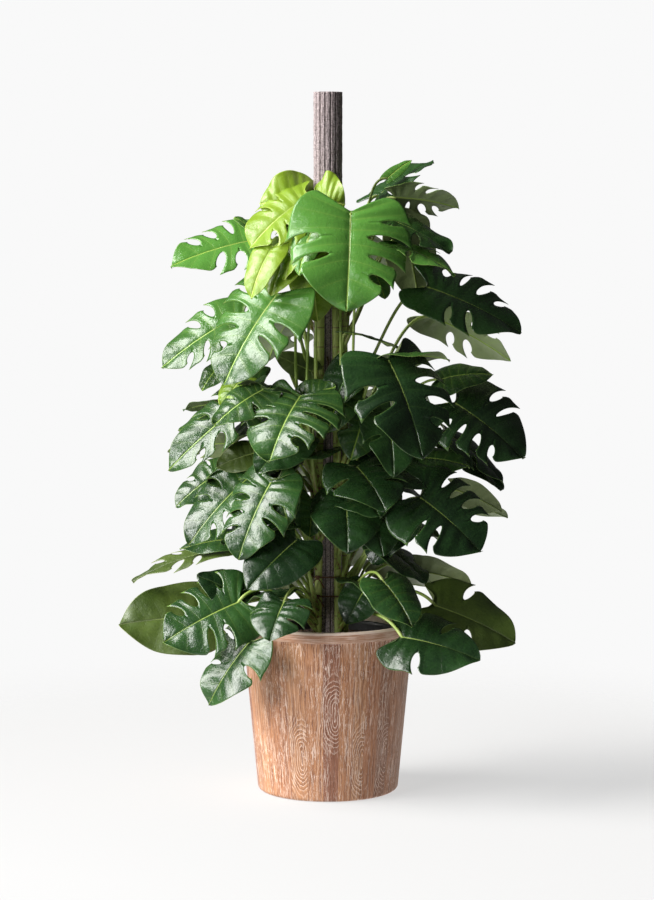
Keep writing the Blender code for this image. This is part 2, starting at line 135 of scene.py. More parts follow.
def resampled(corners, spacing):
    """Points along a line through the corners, with every corner kept and none further apart."""
    corners = np.array(corners, float)
    steps = np.maximum(1, np.ceil(np.linalg.norm(np.diff(corners, axis=0), axis=1) / spacing))
    shares = [np.arange(int(step)) / step for step in steps]
    runs = [a + (b - a) * share[:, None] for a, b, share in zip(corners, corners[1:], shares)]
    return np.concatenate([*runs, corners[-1:]])


def rounded(centre, radius, start, end, steps=5):
    """An arc of a profile, as (radius, height) points, from one angle to another in degrees."""
    turn = np.radians(np.linspace(start, end, steps))
    return [(centre[0] + radius * np.cos(t), centre[1] + radius * np.sin(t)) for t in turn]


def way_along(path):
    """How far along a line of points each of them is, in metres."""
    steps = np.linalg.norm(np.diff(np.asarray(path, float), axis=0), axis=1)
    return np.concatenate([[0.0], np.cumsum(steps)])


def round_axis(radius, turn, height):
    """A grid of points x = r cos(turn), y = r sin(turn), z = height."""
    return np.stack(np.broadcast_arrays(radius * np.cos(turn), radius * np.sin(turn), height), 2)


def turned(profile, columns):
    """A profile of (radius, height) points carried round the Z axis, with its seam at the back.

    u is the way round at the widest radius and v the way along the profile, both in metres.
    """
    profile = np.array(profile, float)
    turn = np.radians(90) + np.linspace(0.0, 2 * np.pi, columns + 1)
    points = round_axis(profile[:, :1], turn, profile[:, 1:])
    u, v = np.meshgrid((turn - turn[0]) * profile[:, 0].max(), way_along(profile))
    return Patch(points, np.stack([u, v], axis=2), 0, {})


class Nodes:
    """A node tree, with short ways to add nodes to it and to join them."""

    def __init__(self, tree):
        self.tree = tree

    def set(self, socket, value):
        """Joins another node's output to a socket, or gives it a number, a vector or a colour."""
        if isinstance(value, bpy.types.NodeSocket):
            self.tree.links.new(value, socket)
        else:
            socket.default_value = (*value, 1.0) if socket.type == "RGBA" else value

    def add(self, kind, settings=(), **inputs):
        """A new node with its settings, and its inputs by name or by number after a _."""
        node = self.tree.nodes.new(kind)
        for key, value in dict(settings).items():
            setattr(node, key, value)
        for key, value in inputs.items():
            self.set(node.inputs[int(key[1:]) if key[1:].isdigit() else key], value)
        return node


class Finish(Nodes):
    """A new material: coordinates, numbers and colours for its shader."""

    def __init__(self, name, roughness):
        self.material = bpy.data.materials.new(name)
        self.material.use_nodes = True
        super().__init__(self.material.node_tree)
        self.shader = self.tree.nodes["Principled BSDF"]
        self.shade(Roughness=roughness)
        # Numbers added, taken away, multiplied, and the biggest of them.
        self.plus, self.minus, self.times, self.most = (
            partial(self.chain, kind) for kind in ("ADD", "SUBTRACT", "MULTIPLY", "MAXIMUM")
        )

    def shade(self, **inputs):
        """Sets inputs of the shader, with a _ for each space in their names."""
        for key, value in inputs.items():
            self.set(self.shader.inputs[key.replace("_", " ")], value)

    def bump(self, height, strength, distance):
        """Leans the shader's normal by a height times the distance in metres."""
        node = self.add("ShaderNodeBump", Height=height, Strength=strength, Distance=distance)
        self.shade(Normal=node.outputs[0])

    def own_uv(self):
        """The piece's own UV map, in metres."""
        return self.add("ShaderNodeUVMap", {"uv_map": "own"}).outputs[0]

    def math(self, operation, first, second=0.0):
        """Two numbers put through one operation."""
        node = self.add("ShaderNodeMath", {"operation": operation}, _0=first, _1=second)
        return node.outputs[0]

    def chain(self, operation, *values):
        """Numbers put through one operation from the first to the last."""
        return reduce(partial(self.math, operation), values)

    def ramp(self, value, low, high, to_low=0.0, to_high=1.0):
        """The value carried smoothly from one range to another, and held beyond it."""
        smooth = {"interpolation_type": "SMOOTHSTEP"}
        node = self.add("ShaderNodeMapRange", smooth, _0=value, _1=low, _2=high, _3=to_low, _4=to_high)
        return node.outputs[0]

    def blend(self, share, first, second):
        """Two colours mixed by a share."""
        node = self.add("ShaderNodeMix", {"data_type": "RGBA"}, _0=share, _6=first, _7=second)
        return node.outputs[2]

    def noise(self, vector, scale, detail=3.0, roughness=0.55, distortion=0.0):
        """Soft random patches, so many to a metre."""
        node = self.add("ShaderNodeTexNoise", Vector=vector, Scale=scale, Detail=detail,
                        Roughness=roughness, Distortion=distortion)
        return node.outputs[0]

    def stretch(self, vector, scale):
        """The vector scaled by (x, y, z)."""
        return self.add("ShaderNodeMapping", Vector=vector, Scale=scale).outputs[0]

    def grain(self, vector, x, y, detail=3.0, roughness=0.55):
        """Noise drawn out into streaks, with x and y of them to a metre."""
        return self.noise(self.stretch(vector, (x, y, 1.0)), 1.0, detail, roughness)


def planter_profile():
    """Up the outside from the middle of the base, over the lip, and down the inside."""
    slope = (PLANTER_TOP_RADIUS - PLANTER_BASE_RADIUS) / PLANTER_HEIGHT
    band = PLANTER_HEIGHT - BAND_HEIGHT

    def outside(height):
        return PLANTER_BASE_RADIUS + slope * height

    inner_lip = (PLANTER_TOP_RADIUS - PLANTER_WALL + LIP_ROUND, PLANTER_HEIGHT - LIP_ROUND)
    outer_lip = (PLANTER_TOP_RADIUS - LIP_ROUND, PLANTER_HEIGHT - LIP_ROUND)
    foot = rounded((outside(FOOT_ROUND) - FOOT_ROUND, FOOT_ROUND), FOOT_ROUND, -90, 0)
    below = [(0.0, 0.0), *foot, (outside(band) - BAND_STEP, band - BAND_STEP), (outside(band), band)]
    above = [*rounded(outer_lip, LIP_ROUND, 0, 90), *rounded(inner_lip, LIP_ROUND, 90, 180)]
    inside = [(outside(PLANTER_FLOOR) - PLANTER_WALL, PLANTER_FLOOR), (0.0, PLANTER_FLOOR)]
    return below, above, inside


below, above, inside = planter_profile()
# Where the rim band starts and ends, as the way along the profile.
BAND_START, BAND_END = way_along(below)[-1], way_along(below + above[:1])[-1]


def teak():
    """Staves of unlike tone, ring lines that run up them and round their hearts, and white wax."""
    wood = Finish("whitewashed_teak", 0.6)
    uv = wood.own_uv()
    around, height, _ = wood.add("ShaderNodeSeparateXYZ", _0=uv).outputs
    row = {"voronoi_dimensions": "1D"}
    stave = wood.add("ShaderNodeTexVoronoi", row, W=around, Scale=STAVES)
    row["feature"] = "DISTANCE_TO_EDGE"
    joint = wood.add("ShaderNodeTexVoronoi", row, W=around, Scale=STAVES)
    tone, rise, blush = wood.add("ShaderNodeSeparateXYZ", _0=stave.outputs["Color"]).outputs
    # The rings: ellipses round the hearts of some staves, and upright lines away from them.
    sway = wood.grain(uv, 9.0, 3.5, 2.0)
    across = wood.minus(around, stave.outputs["W"])
    across = wood.plus(across, wood.times(wood.minus(sway, 0.5), RING_SWAY))
    up = wood.math("ABSOLUTE", wood.minus(height, wood.times(rise, HEART_RISE)))
    up = wood.ramp(up, 0.0, RING_REACH, 0.0, RING_REACH)
    up = wood.most(up, wood.ramp(tone, 0.70, 0.74, RING_REACH, 0.0))
    heart = wood.add("ShaderNodeCombineXYZ", _0=wood.times(across, RING_SQUEEZE), _1=up).outputs[0]
    way = wood.add("ShaderNodeVectorMath", {"operation": "LENGTH"}, _0=heart).outputs[1]
    way = wood.plus(way, wood.times(wood.grain(uv, 70.0, 18.0), RING_WOBBLE))
    ring = wood.math("FRACT", wood.times(way, RINGS))
    late = wood.ramp(ring, 0.55, 0.95)
    early = wood.times(wood.ramp(ring, 0.08, 0.20), wood.ramp(ring, 0.38, 0.24))
    figure = wood.ramp(up, 0.098, 0.060, 0.40, 1.0)
    # Upright streaks, coarse and fine, and the short pores that hold the wax.
    weave = wood.times(wood.minus(wood.grain(uv, 45.0, 22.0, 2.0), 0.5), GRAIN_WEAVE)
    shift = wood.add("ShaderNodeCombineXYZ", _0=weave).outputs[0]
    bent = wood.add("ShaderNodeVectorMath", {"operation": "ADD"}, _0=uv, _1=shift).outputs[0]
    fine = wood.grain(bent, 430.0, 17.0, 3.0, 0.6)
    coarse = wood.grain(bent, 170.0, 7.0, 3.0, 0.6)
    pore = wood.grain(bent, 640.0, 70.0, 2.0, 0.7)
    patchy = wood.grain(uv, 30.0, 7.0)
    colour = wood.blend(tone, TEAK_TAN, TEAK_GOLD)
    colour = wood.blend(wood.ramp(blush, 0.74, 0.80, 0.0, 0.75), colour, TEAK_RED)
    dark = wood.most(wood.times(late, figure), wood.ramp(coarse, 0.50, 0.64))
    colour = wood.blend(wood.times(dark, 0.62), colour, TEAK_LINE)
    colour = wood.blend(wood.ramp(fine, 0.45, 0.37, 0.0, 0.80), colour, TEAK_LINE)
    wax = wood.most(wood.ramp(fine, 0.575, 0.62), wood.ramp(pore, 0.58, 0.63))
    wax = wood.times(wax, wood.ramp(patchy, 0.36, 0.60, 0.15, 1.0))
    wax = wood.most(wax, wood.times(early, figure, wood.ramp(pore, 0.38, 0.54, 0.35, 1.0)))
    colour = wood.blend(wood.times(wax, 0.80), colour, WHITE_WAX)
    crack = wood.ramp(joint.outputs["Distance"], 0.0, 0.02, 0.55, 0.0)
    colour = wood.blend(crack, colour, TEAK_LINE)
    # The rim band is plain brown wood with its grain along the band, and a pale lip.
    streak = wood.ramp(wood.grain(uv, 22.0, 420.0, 4.0, 0.6), 0.35, 0.75, 0.0, 0.7)
    band = wood.blend(streak, BAND_BROWN, WHITE_WAX)
    band = wood.blend(wood.ramp(height, BAND_END - 0.0035, BAND_END - 0.001), band, LIP_PALE)
    in_band = wood.ramp(height, BAND_START - 0.0006, BAND_START + 0.0004)
    wood.shade(Base_Color=wood.blend(in_band, colour, band),
               Roughness=wood.ramp(wax, 0.0, 1.0, 0.50, 0.74))
    relief = wood.plus(wood.times(fine, -0.5), wood.times(late, 0.35), wood.times(pore, -0.4))
    wood.bump(relief, 0.6, 0.0011)
    return wood.material


profile = resampled(below + above + inside, PLANTER_SPACING)
planter = sewn("planter_tub", [turned(profile, PLANTER_COLUMNS)], [teak()])
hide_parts("planter")


# ---- The growing pot ---------------------------------------------------------------------------
# The thin black nursery pot that the plant was grown in, blown from recycled plastic. It stands
# inside the planter, with a rolled rim and rings pressed into its wall.
pot_low, pot_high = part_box("nursery_pot")
POT_WALL = 0.0022
POT_LIP = 0.004
POT_BASE_RADIUS = 0.125
POT_FOOT_IN, POT_FOOT_UP = 0.003, 0.004
POT_RINGS = (0.78, 0.84)
POT_RING_RELIEF = 0.0012
POT_RING_WIDTH = 0.012
POT_BLACK = (0.016, 0.016, 0.017)
POT_SCUFF = (0.06, 0.058, 0.055)


def place_in(finish):
    """The place of a point in the object, for a pattern that runs through it."""
    return finish.add("ShaderNodeTexCoord").outputs["Object"]


def pot_plastic():
    """Black plastic, scuffed grey and dusty."""
    skin = Finish("black_plastic", 0.5)
    scuff = skin.ramp(skin.noise(place_in(skin), 60.0, 5.0, 0.7), 0.52, 0.72)
    skin.shade(Base_Color=skin.blend(scuff, POT_BLACK, POT_SCUFF),
               Roughness=skin.ramp(scuff, 0.0, 1.0, 0.40, 0.65))
    skin.bump(skin.noise(place_in(skin), 900.0), 0.2, 0.0004)
    return skin.material


def pot_profile():
    """Up the outside with two pressed rings, round the rolled rim, and down the inside."""
    low, high = pot_low.z, pot_high.z
    top = pot_high.x - POT_LIP
    heights = np.linspace(low + POT_FOOT_UP, high - 2 * POT_LIP, 60)
    share = (heights - low) / (high - low)
    outside = POT_BASE_RADIUS + (top - POT_BASE_RADIUS) * share
    for ring in POT_RINGS:
        outside += POT_RING_RELIEF * np.exp(-(((share - ring) / POT_RING_WIDTH) ** 2))
    wall = list(zip(outside, heights))
    rim = rounded((top + POT_LIP / 2, high - POT_LIP), POT_LIP, -40, 150, 9)
    inner = [(top - POT_WALL, high - 2 * POT_LIP), (POT_BASE_RADIUS - POT_WALL, low + POT_WALL)]
    foot = (POT_BASE_RADIUS - POT_FOOT_IN, low)
    return [(0.0, low), foot, *wall, *rim, *inner, (0.0, low + POT_WALL)]


pot = sewn("growing_pot", [turned(pot_profile(), 120)], [pot_plastic()])
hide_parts("nursery_pot")


# ---- The potting mix ---------------------------------------------------------------------------
# Dark bark and peat fill the growing pot to just below its rim, a little crowned in the middle,
# with loose chips of bark lying on top. The pole and the stems are planted in it.
soil_low, soil_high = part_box("potting_soil")
SOIL_TOP = soil_high.z
SOIL_CROWN = 0.006
CRUMB = 0.0016
CRUMB_LOW, CRUMB_HIGH = -0.004, 0.001
SOIL_BASE_RADIUS = 0.122
CHIP_COUNT = 900
CHIP_SIZES = (0.004, 0.013)
CHIPS_INSIDE = 0.012
SOIL_DARK = (0.012, 0.008, 0.006)
SOIL_BROWN = (0.060, 0.033, 0.020)
BARK_LIGHT = (0.16, 0.085, 0.048)


def smooth_noise(seed, shape, blur):
    """Random numbers on a grid that wraps round its columns, smoothed over blur points each way."""
    rng = np.random.default_rng(seed)
    field = rng.standard_normal(shape)
    for axis, width in enumerate(blur):
        kernel = np.exp(-0.5 * (np.arange(-3 * width, 3 * width + 1) / max(width, 1e-9)) ** 2)
        mode = "wrap" if axis else "edge"
        padding = [(0, 0), (0, 0)]
        padding[axis] = (len(kernel) // 2, len(kernel) // 2)
        padded = np.pad(field, padding, mode=mode)
        field = np.apply_along_axis(np.convolve, axis, padded, kernel, mode="valid")
    return field / field.std()


def closed(field):
    """A grid with its first column repeated after its last."""
    return np.concatenate([field, field[:, :1]], axis=1)


def soil_patch(rings=70, columns=200):
    """A crowned disc z = top - crown (r / R)^2 + crumbs, and under it a plain tapered plug."""
    turn = np.linspace(0.0, 2 * np.pi, columns + 1)
    share = np.linspace(0.0, 1.0, rings)[:, None]
    crumbs = CRUMB * smooth_noise(3, (rings, columns), (1, 1))
    crumbs = closed(crumbs) * np.minimum(1, 8 * share) * (share < 0.99)
    crumbs = np.clip(crumbs, CRUMB_LOW, CRUMB_HIGH)
    height = SOIL_TOP - CRUMB_HIGH - SOIL_CROWN * share**2 + crumbs
    top = round_axis(soil_high.x * share, turn, height)
    under = round_axis(np.array([[SOIL_BASE_RADIUS], [0.0]]), turn, soil_low.z)
    points = np.concatenate([top, under])
    return Patch(points, points[..., :2], 0, {})


def turn_from(first, second, angle):
    """The matrix that turns points, given in rows, from one axis towards another."""
    matrix = np.eye(3)
    matrix[first, first] = matrix[second, second] = math.cos(angle)
    matrix[first, second], matrix[second, first] = math.sin(angle), -math.sin(angle)
    return matrix


def chip_patches(seed=11):
    """Bark chips: squashed, randomly turned six-sided lumps, scattered evenly over the soil."""
    rng = np.random.default_rng(seed)
    theta = np.linspace(0.0, 2 * np.pi, 7)[None, :]
    phi = np.linspace(0.0, np.pi, 4)[:, None]
    ball = round_axis(np.sin(phi), theta, np.cos(phi))
    patches = []
    for _ in range(CHIP_COUNT):
        size = rng.uniform(*CHIP_SIZES) * np.array((1.0, rng.uniform(0.4, 0.9), rng.uniform(0.2, 0.45)))
        turn, tilt = rng.uniform(0, 2 * np.pi), rng.uniform(-0.5, 0.5)
        rough = closed(1 + 0.25 * rng.standard_normal((4, 6)))
        rough[[0, -1]] = rough[[0, -1], :1]
        reach = (soil_high.x - CHIPS_INSIDE) * math.sqrt(rng.uniform(0.02, 1.0))
        around = rng.uniform(0, 2 * np.pi)
        height = SOIL_TOP - SOIL_CROWN * (reach / soil_high.x) ** 2 + 0.0005
        middle = (reach * math.cos(around), reach * math.sin(around), height)
        lump = ball * rough[..., None] * size / 2
        points = lump @ turn_from(1, 2, tilt) @ turn_from(0, 1, turn) + middle
        patches.append(Patch(points, points[..., :2], 1, {}))
    return patches


def soil_finish(name, dark, light):
    """Damp crumbs: dark and light bark by a fine noise, rough all over."""
    crumb = Finish(name, 0.92)
    place = place_in(crumb)
    grain = crumb.ramp(crumb.noise(place, 260.0, 5.0, 0.7), 0.40, 0.68)
    crumb.shade(Base_Color=crumb.blend(grain, dark, light))
    crumb.bump(crumb.noise(place, 420.0, 5.0, 0.7), 0.8, 0.0015)
    return crumb.material


peat = soil_finish("damp_peat", SOIL_DARK, SOIL_BROWN)
bark = soil_finish("bark_chips", SOIL_BROWN, BARK_LIGHT)
soil = sewn("potting_mix", [soil_patch(), *chip_patches()], [peat, bark])
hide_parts("potting_soil")


# ---- The support pole --------------------------------------------------------------------------
# A hard foam pole rolled in ground coconut fibre. Its skin stands in sixteen lengthwise ribs with
# narrow grooves between them, and it is cut off flat at the top.
pole_low, pole_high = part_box("support_pole")
POLE_RADIUS = pole_high.x
POLE_RIBS = 16
GROOVE_DEPTH = 0.0034
GROOVE_SHARE = 0.17
FIBRE_RELIEF = 0.0005
POLE_COLUMNS = POLE_RIBS * 12
POLE_ROW = 0.0042
POLE_EDGE_DOWN, POLE_EDGE_IN = 0.0008, 0.0010
FIBRE_DARK = (0.060, 0.042, 0.040)
FIBRE_LIGHT = (0.66, 0.555, 0.560)


def pole_patch():
    """r = R - depth exp(-(distance from the groove / width)^2) + fibres, z up the pole.

    The top is closed by a flat end, and the foot stands in the potting mix.
    """
    rows = int((pole_high.z - pole_low.z) / POLE_ROW)
    turn = np.linspace(0.0, 2 * np.pi, POLE_COLUMNS + 1)[None, :]
    height = np.linspace(pole_low.z, pole_high.z - POLE_EDGE_DOWN, rows)[:, None]
    rib = (turn * POLE_RIBS / (2 * np.pi)) % 1.0
    groove = np.exp(-(((rib - 0.5) / GROOVE_SHARE) ** 2) * 4)
    fibres = closed(smooth_noise(5, (rows, POLE_COLUMNS), (0.6, 0.6)))
    radius = POLE_RADIUS - GROOVE_DEPTH * groove - FIBRE_RELIEF * (1.2 - np.clip(fibres, -1.2, 1.2))
    ends = np.stack([radius[-1] - POLE_EDGE_IN, 0 * radius[-1]])
    radius = np.concatenate([radius, ends])
    height = np.concatenate([height + 0 * turn, np.full((2, POLE_COLUMNS + 1), pole_high.z)])
    points = round_axis(radius, turn, height)
    groove = np.concatenate([groove + 0 * height[:-2], np.zeros((2, POLE_COLUMNS + 1))])
    return Patch(points, points[..., :2], 0, {"groove": groove})


def carried(finish, key):
    """A named value that the mesh carries."""
    return finish.add("ShaderNodeAttribute", {"attribute_name": key}).outputs["Fac"]


def pole_fibre():
    """Short pinkish fibres stuck over a dark core, with painted shade that darkens them down in the
    grooves.
    """
    coir = Finish("pole_fibre", 0.95)
    place = place_in(coir)
    fleck = coir.noise(coir.stretch(place, (1.0, 1.0, 0.6)), 750.0, 4.0, 0.7)
    clump = coir.ramp(coir.noise(place, 160.0, 3.0, 0.6), 0.25, 0.62, 0.6, 1.0)
    # Painted shade: the fibre colour darkens towards the bottom of each groove, where shadow falls.
    groove_shade = coir.ramp(carried(coir, "groove"), 0.25, 0.85, 1.0, 0.05)
    share = coir.times(coir.ramp(fleck, 0.36, 0.56), clump, groove_shade)
    coir.shade(Base_Color=coir.blend(share, FIBRE_DARK, FIBRE_LIGHT))
    coir.bump(fleck, 0.9, 0.0016)
    return coir.material


pole = sewn("fibre_pole", [pole_patch()], [pole_fibre()])
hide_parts("support_pole")


# ---- The stems ---------------------------------------------------------------------------------
# Four thick green stems stand in the mix against the pole and climb it with a slight twist. Each
# is ringed by the scars of old leaves and ends in the sheath of the next one.
Stem = namedtuple("Stem", "bearing winding height")
STEMS = (
    Stem(238, 14, 0.87),
    Stem(303, -12, 0.80),
    Stem(25, 10, 0.80),
    Stem(120, -10, 0.70),
)
STEM_RADIUS = 0.009
STEM_GAP = 0.0004
STEM_SCAR_EVERY = 0.042
STEM_SCAR_WIDTH = 0.0022
STEM_DEPTH = 0.03
STEM_TIP = 0.05
STEM_GREEN = (0.500, 0.600, 0.170)
STEM_BROWN = (0.300, 0.260, 0.100)
UP = np.array((0.0, 0.0, 1.0))


def compass(bearing):
    """The level direction at a bearing, or one for each of an array of bearings."""
    turn = np.radians(bearing)
    return np.stack([np.cos(turn), np.sin(turn), 0 * turn], axis=-1)


def unit(vector):
    return vector / np.linalg.norm(vector, axis=-1, keepdims=True)


def stem_centre(stem, height):
    """The middle of a stem at a height above the soil, as it winds up the outside of the pole."""
    height = np.asarray(height, float)
    reach = POLE_RADIUS + STEM_RADIUS + STEM_GAP
    return compass(stem.bearing + stem.winding * height) * reach + UP * (SOIL_TOP + height)[..., None]


def swept(path, radius, sideways, sides, dent=0.0, values=()):
    """A round profile of the given radii carried along a path.

    point = path + radius (cos(turn) a + sin(turn) b), where a is sideways made square to the path
    and b is square to both. A dent presses a channel into the side that b points to. Both ends
    close to a point. u is the way round and v the way along, in metres.
    """
    path, radius = np.asarray(path, float), np.asarray(radius, float)
    path = np.concatenate([path[:1], path, path[-1:]])
    radius = np.concatenate([[0.0], radius, [0.0]])
    along = np.gradient(path[1:-1], axis=0)
    along = unit(np.concatenate([along[:1], along, along[-1:]]))
    a = unit(sideways - (along @ sideways)[:, None] * along)
    b = np.cross(along, a)
    turn = np.linspace(0.0, 2 * np.pi, sides + 1)
    reach = radius[:, None] * (1 - dent * np.exp(-(((turn - np.pi / 2) / 0.6) ** 2)))
    ring = np.cos(turn)[None, :, None] * a[:, None] + np.sin(turn)[None, :, None] * b[:, None]
    points = path[:, None] + reach[..., None] * ring
    uv = np.stack(np.meshgrid(turn * radius.mean(), way_along(path)), axis=2)
    spread = {
        key: np.concatenate([value[:1], value, value[-1:]])[:, None] + 0 * turn
        for key, value in dict(values).items()
    }
    return Patch(points, uv, 0, spread)


def stem_bark():
    """Green skin that browns in patches and in a ring at each leaf scar."""
    skin = Finish("stem_skin", 0.42)
    uv = skin.own_uv()
    up = skin.add("ShaderNodeSeparateXYZ", _0=uv).outputs[1]
    ring = skin.ramp(skin.math("PINGPONG", up, STEM_SCAR_EVERY / 2), 0.0, STEM_SCAR_WIDTH, 1.0, 0.0)
    patch = skin.ramp(skin.noise(place_in(skin), 45.0, 4.0, 0.6), 0.54, 0.74)
    skin.shade(Base_Color=skin.blend(skin.most(ring, patch), STEM_GREEN, STEM_BROWN))
    skin.bump(skin.grain(uv, 500.0, 90.0), 0.5, 0.0008)
    return skin.material


stem_skin = stem_bark()
for index, stem in enumerate(STEMS):
    heights = np.linspace(-STEM_DEPTH, stem.height, 150)
    scar = np.abs((heights / STEM_SCAR_EVERY) % 1.0 - 0.5) * 2
    near_tip = np.clip((stem.height - heights) / STEM_TIP, 0.0, 1.0)
    thickness = STEM_RADIUS * (0.90 + 0.10 * scar**8) * (0.35 + 0.65 * np.sqrt(near_tip))
    tangent_way = np.cross(UP, compass(stem.bearing))
    tube = swept(stem_centre(stem, heights), thickness, tangent_way, 16)
    piece = sewn(f"climbing_stem_{index + 1}", [tube], [stem_skin])
    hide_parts(f"stem_{index + 1}")


# ---- The twine ties ----------------------------------------------------------------------------
# Brown two-ply jute twine, pulled tight round the pole and the stems at three heights and tied in
# front in a flat knot with two short ends.
TIE_HEIGHTS = (0.334, 0.140, 0.098)
TWINE_RADIUS = 0.0015
TWINE_LAY = 0.007
TWINE_DARK = (0.115, 0.055, 0.028)
TWINE_LIGHT = (0.33, 0.19, 0.10)
KNOT_BEARING = 262
KNOT_SIZE = 0.0016
KNOT_END_SPREAD, KNOT_END_DROP = 0.014, 0.020


def jute():
    """Hairy jute: light and dark fibres that run along the strand."""
    strand = Finish("jute_twine", 0.9)
    hair = strand.grain(strand.own_uv(), 2600.0, 320.0, 3.0, 0.7)
    share = strand.ramp(hair, 0.4, 0.65)
    strand.shade(Base_Color=strand.blend(share, TWINE_DARK, TWINE_LIGHT))
    strand.bump(hair, 0.8, 0.0005)
    return strand.material


def plied(path, out):
    """Two strands twisted round a path: each stands off it by half the twine's radius."""
    way = way_along(path)
    along = unit(np.gradient(path, axis=0))
    a = unit(out - (out * along).sum(axis=1, keepdims=True) * along)
    b = np.cross(along, a)
    strands = []
    for start in (0.0, np.pi):
        turn = (2 * np.pi * way / TWINE_LAY + start)[:, None]
        middle = path + TWINE_RADIUS * 0.5 * (np.cos(turn) * a + np.sin(turn) * b)
        strands.append(swept(middle, np.full(len(path), TWINE_RADIUS * 0.56), UP + 0.01, 6))
    return strands


def tie_path(height, steps=420):
    """A loop that touches the outermost of the pole and the stems at every bearing."""
    out = compass(np.linspace(0.0, 360.0, steps) + KNOT_BEARING)
    middles = [np.zeros(3)] + [stem_centre(s, height) * (1, 1, 0) for s in STEMS if s.height > height]
    radii = np.array([POLE_RADIUS] + [STEM_RADIUS] * (len(middles) - 1))
    reach = np.array(middles) @ out.T + radii[:, None]
    best = reach.argmax(axis=0)
    points = np.array(middles)[best] + out * (radii[best] + 2 * STEM_GAP + TWINE_RADIUS)[:, None]
    return points + UP * (SOIL_TOP + height), out


def knot_strands(at, out):
    """A flat overhand knot, a small three-lobed loop, with two ends that hang below it."""
    side = np.cross(UP, out)
    t = np.linspace(0.0, 2 * np.pi, 90)[:, None]
    lobes = side * (np.sin(t) + 2 * np.sin(2 * t)) + UP * (np.cos(t) - 2 * np.cos(2 * t))
    loop = at + KNOT_SIZE * lobes + out * (0.0022 - 0.0014 * np.sin(3 * t))
    s = np.linspace(0.0, 1.0, 30)[:, None]
    strands = [swept(loop, np.full(90, TWINE_RADIUS * 0.8), out, 6)]
    for hand in (-1, 1):
        end = at + side * hand * KNOT_END_SPREAD * s + out * (0.003 + 0.004 * s)
        end = end - UP * (0.002 + KNOT_END_DROP * s**1.5)
        strands.append(swept(end, TWINE_RADIUS * (0.9 + 0.3 * s[:, 0] ** 4), out, 6))
    return strands


twine = jute()
for index, height in enumerate(TIE_HEIGHTS):
    path, out = tie_path(height)
    strands = [*plied(path, out), *knot_strands(path[0], out[0])]
    piece = sewn(f"jute_tie_{index + 1}", strands, [twine])
    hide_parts(f"twine_tie_{index + 1}")


# ---- The aerial roots --------------------------------------------------------------------------
# Thin brown cords that leave a stem at a leaf scar, feel their way down the pole and end in a
# pale tip.
AirRoot = namedtuple("AirRoot", "start_bearing end_bearing top bottom")
AIR_ROOTS = (AirRoot(268, 275, 0.62, 0.52), AirRoot(337, 345, 0.52, 0.38))
ROOT_RADIUS = 0.0015
ROOT_STANDS_OFF = 0.010
ROOT_WRIGGLE = 0.0006
ROOT_BROWN = (0.095, 0.045, 0.024)
ROOT_TIP = (0.30, 0.20, 0.10)


def root_skin():
    """Scurfy brown, paler in flecks and at the growing tip."""
    skin = Finish("root_skin", 0.8)
    fleck = skin.ramp(skin.noise(place_in(skin), 700.0, 3.0, 0.7), 0.5, 0.7, 0.0, 0.6)
    share = skin.most(fleck, skin.ramp(carried(skin, "tip"), 0.9, 1.0))
    skin.shade(Base_Color=skin.blend(share, ROOT_BROWN, ROOT_TIP))
    skin.bump(fleck, 0.6, 0.0004)
    return skin.material


root_brown = root_skin()
for index, root in enumerate(AIR_ROOTS):
    share = np.linspace(0.0, 1.0, 60)
    bearings = root.start_bearing + (root.end_bearing - root.start_bearing) * share**0.5
    reach = POLE_RADIUS + ROOT_RADIUS + 2 * STEM_GAP + ROOT_STANDS_OFF * np.sin(np.pi * share)
    drop = SOIL_TOP + root.top + (root.bottom - root.top) * share
    path = compass(bearings) * reach[:, None] + UP * drop[:, None]
    path += ROOT_WRIGGLE * np.sin(share * 31)[:, None] * compass(bearings)
    thickness = ROOT_RADIUS * (1.05 - 0.25 * share) * np.sqrt(np.clip((1.02 - share) * 12, 0, 1))
    tube = swept(path, thickness, compass(bearings[0] + 90), 8, values={"tip": share})
    piece = sewn(f"air_root_{index + 1}", [tube], [root_brown])
    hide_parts(f"aerial_root_{index + 1}")


# ---- The leaves --------------------------------------------------------------------------------
# Each leaf is one leathery, heart-shaped blade on a long stalk, puffed up between sunken veins and
# split from its edge between some of them. The stalk leaves a stem in a sheath, swells at its knee
# just under the blade, and goes on beneath it as the midrib.

